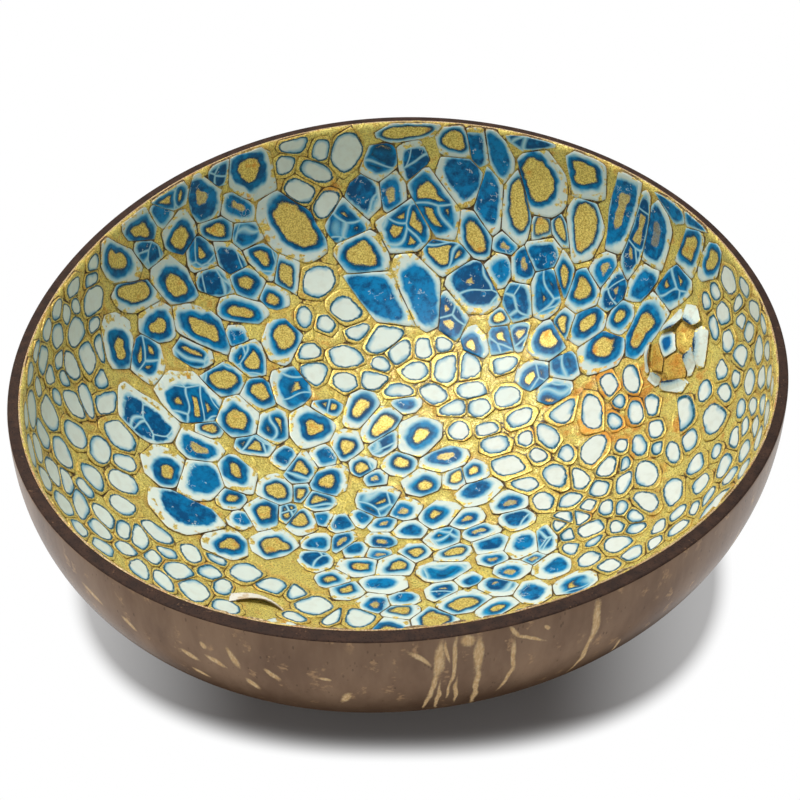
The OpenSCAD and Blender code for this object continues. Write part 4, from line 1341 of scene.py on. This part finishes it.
@dataclass
class Lining:
    """The gold lacquer: thin under the shards and thicker in the channels between them."""

    bowl: Bowl
    around: int = 600
    rings: int = 128
    under_rings: int = 8
    crack_rise: float = 0.28
    channel_rise: float = 0.47
    crack_room: float = 0.05
    channel_room: float = 0.45
    far: float = 4
    corner_share: float = 1.5
    under_shards: float = -0.3

    def build(self, outlines: list[Outline]) -> bpy.types.Object:
        """Makes the lining.

        Args:
            outlines: The shards' outlines.

        Returns:
            The piece.
        """
        bowl = self.bowl
        direction = spokes(self.around)[None]
        reach = bowl.rolled_r * np.linspace(1, 1 / self.rings, self.rings)
        flat = direction * reach[:, None, None]
        room = np.full(flat.shape[:2], float(self.far))
        for outline in outlines:
            span = outline.reach.max() * self.corner_share + self.far
            near = np.linalg.norm(flat - outline.middle, axis=-1) < span
            room[near] = np.minimum(room[near], outline.room(flat[near]))
        share = np.clip((room - self.crack_room) / self.channel_room, 0, 1)
        floor = bowl.lining_gap + bowl.lining_t
        depth = floor + self.crack_rise + (self.channel_rise - self.crack_rise) * share**2 * (3 - 2 * share)
        depth[0] = floor
        shares = np.linspace(1 / self.under_rings, 1, self.under_rings)
        under = direction * shares[:, None, None] * bowl.rolled_r
        rows = np.concatenate((bowl.on_bowl(under, bowl.lining_gap), bowl.on_bowl(flat, depth)))
        low, high = (bowl.on_bowl(np.zeros(2), d) for d in (bowl.lining_gap, floor))
        below = np.zeros(self.under_rings * self.around)
        values = np.concatenate((below, room.ravel(), [0, self.under_shards]))
        sheet = Sheet()
        sheet.add(rows, low, high, [0] * self.under_rings + [1] + [0] * self.rings, room=values)
        edge = GoldLacquer("lining_edge", paint(236, 210, 160), paint(190, 138, 84), False)
        finishes = (GoldLacquer("gold_ground"), edge)
        return place_piece(sheet.mesh("gold_lacquer_lining"), finishes, "gold_lacquer", "gold_lining")


class Takes(Enum):
    """What a socket of a Geometry Nodes tree takes."""

    SHAPE = "NodeSocketGeometry"
    NUMBER = "NodeSocketFloat"
    COUNT = "NodeSocketInt"


class GrowingTree(Tree):
    """A Geometry Nodes tree with named inputs, which makes a mesh."""

    def __init__(self, name: str, takes: dict[str, Takes]) -> None:
        """Makes the tree and its sockets.

        Args:
            name: The tree's name.
            takes: What each of its inputs takes, by name.
        """
        group = bpy.data.node_groups.new(name, "GeometryNodeTree")
        for socket, kind in takes.items():
            group.interface.new_socket(socket, in_out="INPUT", socket_type=kind.value)
        group.interface.new_socket("Result", in_out="OUTPUT", socket_type=Takes.SHAPE.value)
        super().__init__(group)
        start = self.node("NodeGroupInput", {}, {})
        self.given = {socket: start.output(socket) for socket in takes}

    def carried(self, name: str) -> Wire:
        """Returns a value that the mesh carries at its points."""
        return self.node("GeometryNodeInputNamedAttribute", {"data_type": "FLOAT"}, {"Name": name})

    def dress(self, shape: Wire, finish: Finish, where: Wire | bool = True) -> Wire:
        """Returns a shape with a finish on the faces where it belongs."""
        inputs = {"Geometry": shape, "Selection": where, "Material": finish.material()}
        return self.node("GeometryNodeSetMaterial", {}, inputs)

    def grow(self, name: str, settings: dict[str, float], start: bpy.types.Mesh) -> bpy.types.Mesh:
        """Runs the tree and keeps its result as a plain mesh.

        Args:
            name: The name of the mesh.
            settings: The values of the tree's named inputs.
            start: The mesh that it starts from.

        Returns:
            The mesh.
        """
        maker = in_scene(name + "_maker", start)
        modifier = maker.modifiers.new(name, "NODES")
        modifier.node_group = self.tree
        for item in self.tree.interface.items_tree:
            if item.item_type == "SOCKET" and item.in_out == "INPUT" and item.name in settings:
                modifier[item.identifier] = settings[item.name]
        graph = bpy.context.evaluated_depsgraph_get()
        mesh = bpy.data.meshes.new_from_object(maker.evaluated_get(graph), depsgraph=graph)
        mesh.name = name
        maker.modifiers.clear()
        bpy.data.objects.remove(maker)
        return mesh


@dataclass
class GoldFlakes:
    """Loose specks of gold leaf in the channels and cracks, scattered by Geometry Nodes."""

    per_area: float = 0.5
    size: float = 0.17
    height_share: float = 0.3
    corners: int = 4
    sizes: tuple[float, float] = (0.45, 1.2)
    lean: float = 0.5
    crack_half: float = 0.25
    seed: int = 7

    def tree(self) -> GrowingTree:
        """Makes the tree that scatters the flakes.

        Returns:
            The tree.
        """
        takes = {
            "Lacquer": Takes.SHAPE, "Flakes Per Area": Takes.NUMBER, "Flake Size": Takes.NUMBER,
            "Seed": Takes.COUNT,
        }
        tree = GrowingTree("scatter_flakes", takes)
        lacquer, per_area, size, seed = tree.given.values()
        density = per_area * tree.carried("room").ease(-self.crack_half, self.crack_half)
        inputs = {"Mesh": lacquer, "Density": density, "Seed": seed}
        spread = tree.node("GeometryNodeDistributePointsOnFaces", {}, inputs, "Points")
        cone = {
            "Vertices": self.corners, "Radius Top": 0.0, "Radius Bottom": size * 0.5,
            "Depth": size * self.height_share,
        }
        flake = tree.node("GeometryNodeMeshCone", {}, cone, "Mesh")
        inputs = {2: self.sizes[0], 3: self.sizes[1], "Seed": seed}
        scale = tree.node("FunctionNodeRandomValue", {"data_type": "FLOAT"}, inputs, 1)
        inputs = {0: (-self.lean, -self.lean, 0), 1: (self.lean, self.lean, TURN), "Seed": seed}
        spin = tree.node("FunctionNodeRandomValue", {"data_type": "FLOAT_VECTOR"}, inputs)
        inputs = {0: spread.output("Rotation"), 1: spin}
        turned = tree.node("FunctionNodeRotateRotation", {"rotation_space": "LOCAL"}, inputs)
        inputs = {"Points": spread, "Instance": flake, "Rotation": turned, "Scale": scale}
        placed = tree.node("GeometryNodeInstanceOnPoints", {}, inputs)
        real = tree.node("GeometryNodeRealizeInstances", {}, {"Geometry": placed})
        tree.join(tree.dress(real, GoldFlake("gold_flake")), "NodeGroupOutput", "Result")
        return tree

    def build(self, lining: bpy.types.Object) -> None:
        """Scatters the flakes over the lining."""
        settings = {"Flakes Per Area": self.per_area / MM**2, "Flake Size": self.size * MM, "Seed": self.seed}
        place_piece(self.tree().grow("gold_flakes", settings, lining.data.copy()), (), "gold_lacquer")


WALL = PolishedShell("outer_wall")
RIM = SawnShell("sawn_rim", paint(47, 31, 23), paint(72, 51, 40), 0.66)
FOOT = SawnShell("sanded_foot", paint(70, 50, 38), paint(112, 84, 62), 0.5)


@dataclass
class Shell:
    """The half coconut shell, grown by Geometry Nodes from its profile."""

    bowl: Bowl
    steps_around: int = 360
    foot_steps: int = 12
    wall_steps: int = 110
    round_steps: int = 6
    rim_steps: int = 12
    inner_steps: int = 60
    waver: float = 0.18
    waver_size: float = 14
    waver_edge: float = 0.03
    rim_start: float = 0.01
    weld: float = 0.002
    seed: int = 3

    def stations(self) -> list[int]:
        """Returns the step at which each stretch of the profile ends, from the middle of the foot on."""
        stretches = (self.foot_steps, self.wall_steps, self.round_steps, self.rim_steps, self.inner_steps)
        return [int(n) for n in np.cumsum(stretches)]

    def ends(self) -> list[float]:
        """Returns the same as shares of the whole profile."""
        return [n / self.stations()[-1] for n in self.stations()]

    def profile(self, v: Wire, a: Wire, size: dict[str, Wire]) -> tuple[Wire, Wire]:
        """Finds the profile's points.

        Args:
            v: The station, from 0 in the middle of the foot to 1 in the middle of the floor.
            a: The azimuth.
            size: The sizes, by name.

        Returns:
            The radius and the height there.
        """
        bowl, ends = self.bowl, self.ends()
        half = size["Rim Diameter"] * 0.5
        tall, cut = size["Bowl Height"], size["Foot Depth"]
        outer = half * waved(a, OUTLINE_WAVES, Wire.cosine, Wire.sine)
        inner = outer - size["Rim Width"] * waved(a, RIM_WAVES, Wire.cosine, Wire.sine)
        rounding = size["Rim Rounding"]

        def fall(t: Wire) -> Wire:
            """Returns how far below the rim the curve is at t, as a share."""
            return t.cosine().math("MAXIMUM", 0) ** (2 / bowl.depth_power)

        def reach(t: Wire) -> Wire:
            """Returns how far out the curve is at t, as a share."""
            return t.sine().math("MAXIMUM", 0) ** (2 / bowl.radius_power)

        whole = tall + cut
        foot_t = ((tall / whole) ** (bowl.depth_power / 2)).math("ARCCOSINE")
        last_t = ((rounding / whole) ** (bowl.depth_power / 2)).math("ARCCOSINE")
        t = foot_t.to(last_t, v.ease(ends[0], ends[1], "LINEAR"))
        r = outer * reach(foot_t) * v.ease(0, ends[0], "LINEAR")
        z = v * 0
        on_wall = v > ends[0]
        r, z = r.to(outer * reach(t), on_wall), z.to(tall - whole * fall(t), on_wall)
        bend = v.ease(ends[1], ends[2], "LINEAR") * (math.pi / 2)
        past = v > ends[1]
        r = r.to(outer - rounding * (1 - bend.cosine()), past)
        z = z.to(tall - rounding * (1 - bend.sine()), past)
        past = v > ends[2]
        r = r.to((outer - rounding).to(inner, v.ease(ends[2], ends[3], "LINEAR")), past)
        z = z.to(tall, past)
        past = v > ends[3]
        t = (1 - v.ease(ends[3], 1, "LINEAR")) * (math.pi / 2)
        r = r.to(inner * reach(t), past)
        z = z.to(tall - (tall - size["Floor Thickness"]) * fall(t), past)
        return r, z

    def tree(self, sizes: Iterable[str], counts: Iterable[str]) -> GrowingTree:
        """Makes the tree that grows the shell.

        Args:
            sizes: The names of its inputs for sizes.
            counts: The names of its inputs for whole numbers.

        Returns:
            The tree.
        """
        takes = dict.fromkeys(sizes, Takes.NUMBER) | dict.fromkeys(counts, Takes.COUNT)
        tree = GrowingTree("grow_shell", takes)
        size, ends = tree.given, self.ends()
        around, across = size["Steps Around"] + 1, size["Steps Across"] + 1
        inputs = {"Size X": 1.0, "Size Y": 1.0, "Vertices X": around, "Vertices Y": across}
        grid = tree.node("GeometryNodeMeshGrid", {}, inputs, "Mesh")
        u, v = (part + 0.5 for part in tree.parts(tree.node("GeometryNodeInputPosition", {}, {}))[:2])
        a = u * -TURN
        inputs = {"Geometry": grid, "Name": "station", "Value": v}
        kept = tree.node("GeometryNodeStoreNamedAttribute", {"data_type": "FLOAT"}, inputs)
        r, z = self.profile(v, a, size)
        ring = tree.point(a.cosine() * r, a.sine() * r, z)
        inputs = {
            "Vector": tree.vector("MULTIPLY", ring, (1 / MM,) * 3), "W": size["Seed"],
            "Scale": 1 / self.waver_size, "Detail": 2.0,
        }
        swell = tree.node("ShaderNodeTexNoise", {"noise_dimensions": "4D"}, inputs) - 0.5
        on_wall = v.ease(ends[0], ends[0] + self.waver_edge) * v.ease(ends[1], ends[1] - self.waver_edge)
        out = swell * on_wall * size["Waver"] + r
        body = tree.point(a.cosine() * out, a.sine() * out, z)
        moved = tree.node("GeometryNodeSetPosition", {}, {"Geometry": kept, "Position": body})
        inputs = {"Geometry": moved, "Distance": self.weld * MM}
        closed = tree.node("GeometryNodeMergeByDistance", {}, inputs)
        real = tree.node("GeometryNodeRealizeInstances", {}, {"Geometry": closed})
        smooth = tree.node("GeometryNodeSetShadeSmooth", {}, {0: real, "Shade Smooth": True})
        station = tree.carried("station")
        dressed = tree.dress(smooth, FOOT)
        for finish, start in ((WALL, ends[0]), (RIM, ends[1] + self.rim_start)):
            dressed = tree.dress(dressed, finish, station > start)
        tree.join(dressed, "NodeGroupOutput", "Result")
        return tree

    def build(self) -> None:
        """Grows the shell."""
        bowl = self.bowl
        sizes = {
            "Rim Diameter": bowl.rim_d * MM, "Bowl Height": bowl.height * MM,
            "Foot Depth": bowl.foot_depth * MM, "Rim Width": bowl.rim_w * MM,
            "Floor Thickness": bowl.floor_t * MM, "Rim Rounding": bowl.rim_round * MM,
            "Waver": self.waver * MM,
        }
        counts = {"Steps Around": self.steps_around, "Steps Across": self.stations()[-1], "Seed": self.seed}
        tree = self.tree(sizes, counts)
        mesh = tree.grow("half_coconut_shell", sizes | counts, bpy.data.meshes.new("shell_start"))
        place_piece(mesh, (), "polished_shell", "coconut_shell")


@dataclass
class CoveredEye:
    """The bump over the coconut's eye, the shards on it and the raised ones round it."""

    bowl: Bowl
    place_shares: tuple[float, float] = (0.645, 0.33)
    radius: float = 7.5
    height: float = 1.5
    edge_t: float = 0.12
    gap: float = 0.2
    blue_cap_shares: tuple[float, float] = (-0.12, 0.16)
    petal_lift: float = 1.3
    petal_shares: tuple[tuple[float, float, float], ...] = (
        (-0.86, 0.15, 0.13), (-0.7, -0.5, 0.14), (-0.2, -0.95, 0.15), (0.42, -0.62, 0.13),
        (0.86, -0.4, 0.15), (0.08, 0.78, 0.16), (0.72, 0.66, 0.18),
    )
    cap_grow: float = 0.05
    petal_grow: float = 0.03
    fold_way: tuple[float, float] = (0.8, 0.6)
    fold_place: float = 0.35
    fold_half: float = 0.05
    fold_reach: float = 1.2
    fold_height: float = 0.16
    wrinkle_waves: tuple[tuple[float, float], ...] = ((23, 4), (-3, 19))
    wrinkle_height: float = 0.05
    cap_seed: int = 11
    petal_seed: int = 12
    steps: int = 18
    around: int = 72

    @property
    def middle(self) -> np.ndarray:
        """Returns the middle of the bump on the rolled-out inside."""
        return np.array(self.place_shares) * self.bowl.rolled_r

    def top(self, flat: np.ndarray) -> np.ndarray:
        """Returns the depth of the bump's top."""
        share = np.minimum(np.linalg.norm(flat - self.middle, axis=-1) / self.radius, 1)
        return self.bowl.bed_depth + self.edge_t + self.height * (1 - share**2) ** 2

    def over(self, flat: np.ndarray) -> np.ndarray:
        """Returns how much higher than in the mosaic a shard on the bump lies."""
        return self.top(flat) + self.gap - self.bowl.bed_depth

    def build_bump(self) -> None:
        """Makes the bump, with a fold and small wrinkles in its lacquer."""
        reach = self.radius * np.linspace(1, 1 / self.steps, self.steps)
        flat = spokes(self.around)[None] * reach[:, None, None] + self.middle
        x, y = np.moveaxis((flat - self.middle) / self.radius, -1, 0)
        off_fold = (x * self.fold_way[0] + y * self.fold_way[1] + self.fold_place) / self.fold_half
        fold = np.exp(-(off_fold**2)) * np.clip(self.fold_reach - x * x - y * y, 0, 1)
        waves = [np.sin(x * along + y * across) for along, across in self.wrinkle_waves]
        wrinkles = self.wrinkle_height * waves[0] * waves[1] * (1 - x * x - y * y)
        rows = np.concatenate((flat[:1], flat))
        edge = np.full((1, self.around), self.bowl.bed_depth)
        depth = np.concatenate((edge, self.top(flat) + (self.fold_height * fold + wrinkles)))
        low, high = (self.bowl.on_bowl(self.middle, d) for d in (self.bowl.bed_depth, self.top(self.middle)))
        sheet = Sheet()
        sheet.add(self.bowl.on_bowl(rows, depth), low, high, [0] * (self.steps + 2), room=1.0)
        place_piece(sheet.mesh("lacquered_eye_bump"), (GoldLacquer("gold_bump"),), "gold_lacquer", "eye_bump")

    def build_caps(self) -> None:
        """Makes the shards that lie on the bump: one painted blue, the others gold."""
        sheet, draw = Sheet(), np.random.default_rng(self.cap_seed)
        maker = ShardMaker(self.bowl, step=0.45, crown=0.12)
        found = outlines_of("eye_cap_shards", self.bowl, self.cap_grow)
        blue_middle = self.middle + np.array(self.blue_cap_shares) * self.radius
        blue = min(found, key=lambda outline: float(np.linalg.norm(outline.middle - blue_middle)))
        for outline in found:
            maker.add(sheet, outline, draw, self.over, (0 if outline is blue else 2, 1))
        finishes = (
            BlueEggshell("blue_cap", split_share=0, blue=paint(0, 100, 164), margin_share=0.3), BARE_EDGE,
            GoldLacquer("gold_cap", paint(255, 220, 108), paint(224, 168, 60), False),
        )
        place_piece(sheet.mesh("eye_caps"), finishes, Kind.WHITE.value, "eye_cap_shards")

    def build_petals(self) -> None:
        """Makes the raised shards round the bump, which stand up at their inner edge."""
        sheet, draw = Sheet(), np.random.default_rng(self.petal_seed)
        maker = ShardMaker(self.bowl, step=0.4, crown=0.1)
        for outline in outlines_of("eye_petal_shards", self.bowl, self.petal_grow):
            place = (outline.middle - self.middle) / self.radius
            x, y, half = min(self.petal_shares, key=lambda p: math.hypot(p[0] - place[0], p[1] - place[1]))
            out, half = (math.hypot(x, y) + half) * self.radius, half * self.radius

            def lift(flat: np.ndarray, out: float = out, half: float = half) -> np.ndarray:
                """Returns how much higher than in the mosaic the shard lies, most at its inner edge."""
                share = (out - np.linalg.norm(flat - self.middle, axis=-1)) / half / 2
                return self.over(flat) + self.petal_lift * np.clip(share, 0, 1)

            away = np.linalg.norm(maker.add(sheet, outline, draw, lift) - self.middle, axis=-1)
            inner = (away.max() - away) / (away.max() - away.min())
            sheet.values.setdefault("inner", []).append(inner)
        finishes = (PetalEggshell("white_petal"), BARE_EDGE)
        place_piece(sheet.mesh("eye_petals"), finishes, Kind.WHITE.value, "eye_petal_shards")

    def build(self) -> None:
        """Makes the bump and its shards."""
        self.build_bump()
        self.build_caps()
        self.build_petals()


@dataclass
class CurledShard:
    """The shard that has peeled up: an arch held along its far edge."""

    bowl: Bowl
    place_shares: tuple[float, float] = (-0.28, -0.25)
    turn: float = -12
    length: float = 9.8
    width: float = 2.9
    height: float = 1.15
    bow: float = 2.4
    end_share: float = 0.3
    thin_share: float = 0.6
    taper: float = 0.5
    curl_power: float = 1.5
    lean: float = 0.35
    stations: int = 36
    across: int = 10

    def build(self) -> None:
        """Makes the shard."""
        bowl = self.bowl
        turn = math.radians(self.turn)
        along, side = np.array([math.cos(turn), math.sin(turn)]), np.array([-math.sin(turn), math.cos(turn)])
        middle = np.array(self.place_shares) * bowl.rolled_r
        start = middle - side * (self.bow - self.width * self.end_share) / 2
        w = np.linspace(0, 1, self.across)
        thickness = bowl.shard_t * (self.thin_share + (1 - self.thin_share) * np.sin(math.pi * w))
        rows, inset = [], []
        for u in np.linspace(-1, 1, self.stations):
            rise = 1 - u * u
            width_share = self.end_share + (1 - self.end_share) * rise ** (self.taper + self.lean * u)
            width = self.width * width_share * (1 - self.lean * u)
            back = start + along * u * self.length / 2 + side * self.bow * rise
            flat = back - side * (w * width)[:, None]
            top = bowl.mosaic_depth + self.height * rise * (1 + self.lean * u) * w**self.curl_power
            low = top - thickness
            rows.append(np.concatenate((bowl.on_bowl(flat, top), bowl.on_bowl(flat[::-1], low[::-1]))))
            edge = np.minimum(np.minimum(w, 1 - w) * width, (1 - abs(u)) * self.length / 2)
            inset.append(np.concatenate((edge, edge * 0)))
        rows = np.array(rows)
        values = np.concatenate((np.concatenate(inset), [0, 0]))
        sheet = Sheet()
        sheet.add(rows, rows[0].mean(axis=0), rows[-1].mean(axis=0), [0] * (self.stations + 1), inset=values)
        finishes = (BareEggshell("white_curl"),)
        place_piece(sheet.mesh("curled_eggshell"), finishes, Kind.WHITE.value, "curled_shard")


@dataclass
class Studio:
    """The pale floor, the soft light and the camera."""

    elevation: float = 42.2
    distance: float = 481.4
    target: tuple[float, float, float] = (0.17, 0, 37.03)
    lens: float = 120.7
    sensor: float = 36
    floor_half: float = 3000
    sky: float = 0.3
    horizon: float = 0.75
    horizon_heights: tuple[float, float] = (0.5, 0.1)
    lamp_place: tuple[float, float, float] = (-150, 140, 700)
    lamp_target: tuple[float, float, float] = (0, 0, 20)
    lamp_side: float = 320
    lamp_watts: float = 4.5

    def build_floor(self) -> None:
        """Makes the floor."""
        mesh = bpy.data.meshes.new("floor")
        half = self.floor_half * MM
        corners = [(-half, -half, 0), (half, -half, 0), (half, half, 0), (-half, half, 0)]
        mesh.from_pydata(corners, [], [(0, 1, 2, 3)])
        mesh.materials.append(PaleFloor("pale_floor").material())
        in_scene("floor", mesh)

    def build_sky(self) -> None:
        """Makes the soft light from all sides, stronger near the horizon and white to the camera."""
        world = bpy.data.worlds.new("studio")
        bpy.context.scene.world = world
        world.use_nodes = True
        world.node_tree.nodes.clear()
        tree = Tree(world.node_tree)
        seen = tree.node("ShaderNodeLightPath", {}, {}, "Is Camera Ray")
        height = tree.parts(tree.node("ShaderNodeTexCoord", {}, {}, "Generated"))[2]
        strength = (height.ease(*self.horizon_heights) * self.horizon + self.sky).to(1, seen)
        tree.join(tree.node("ShaderNodeBackground", {}, {"Strength": strength}), "ShaderNodeOutputWorld")

    def build_lamp(self) -> None:
        """Hangs a square soft lamp that points at the bowl."""
        data = bpy.data.lights.new("top_softbox", "AREA")
        data.shape = "SQUARE"
        data.size = self.lamp_side * MM
        data.energy = self.lamp_watts
        lamp = in_scene("top_softbox", data)
        lamp.location = Vector(self.lamp_place) * MM
        way = Vector(self.lamp_target) - Vector(self.lamp_place)
        lamp.rotation_euler = way.to_track_quat("-Z", "Y").to_euler()

    def build_camera(self) -> None:
        """Makes the camera."""
        data = bpy.data.cameras.new("camera")
        data.lens = self.lens
        data.sensor_width = self.sensor
        camera = in_scene("camera", data)
        up = math.radians(self.elevation)
        offset = Vector((0, -math.cos(up), math.sin(up))) * self.distance
        camera.location = (Vector(self.target) + offset) * MM
        camera.rotation_euler = (-offset).to_track_quat("-Z", "Y").to_euler()
        bpy.context.scene.camera = camera

    def build(self) -> None:
        """Sets up the studio."""
        bpy.context.scene.view_settings.view_transform = "Standard"
        self.build_floor()
        self.build_sky()
        self.build_lamp()
        self.build_camera()


def main() -> None:
    """Builds the bowl and its studio."""
    logging.basicConfig(level=logging.INFO, format="%(message)s")
    bowl = Bowl()
    Studio().build()
    Shell(bowl).build()
    mosaic = Mosaic(bowl)
    mosaic.build()
    lining = Lining(bowl).build(mosaic.outlines)
    GoldFlakes().build(lining)
    CoveredEye(bowl).build()
    CurledShard(bowl).build()


if __name__ == "__main__":
    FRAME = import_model()
    main()
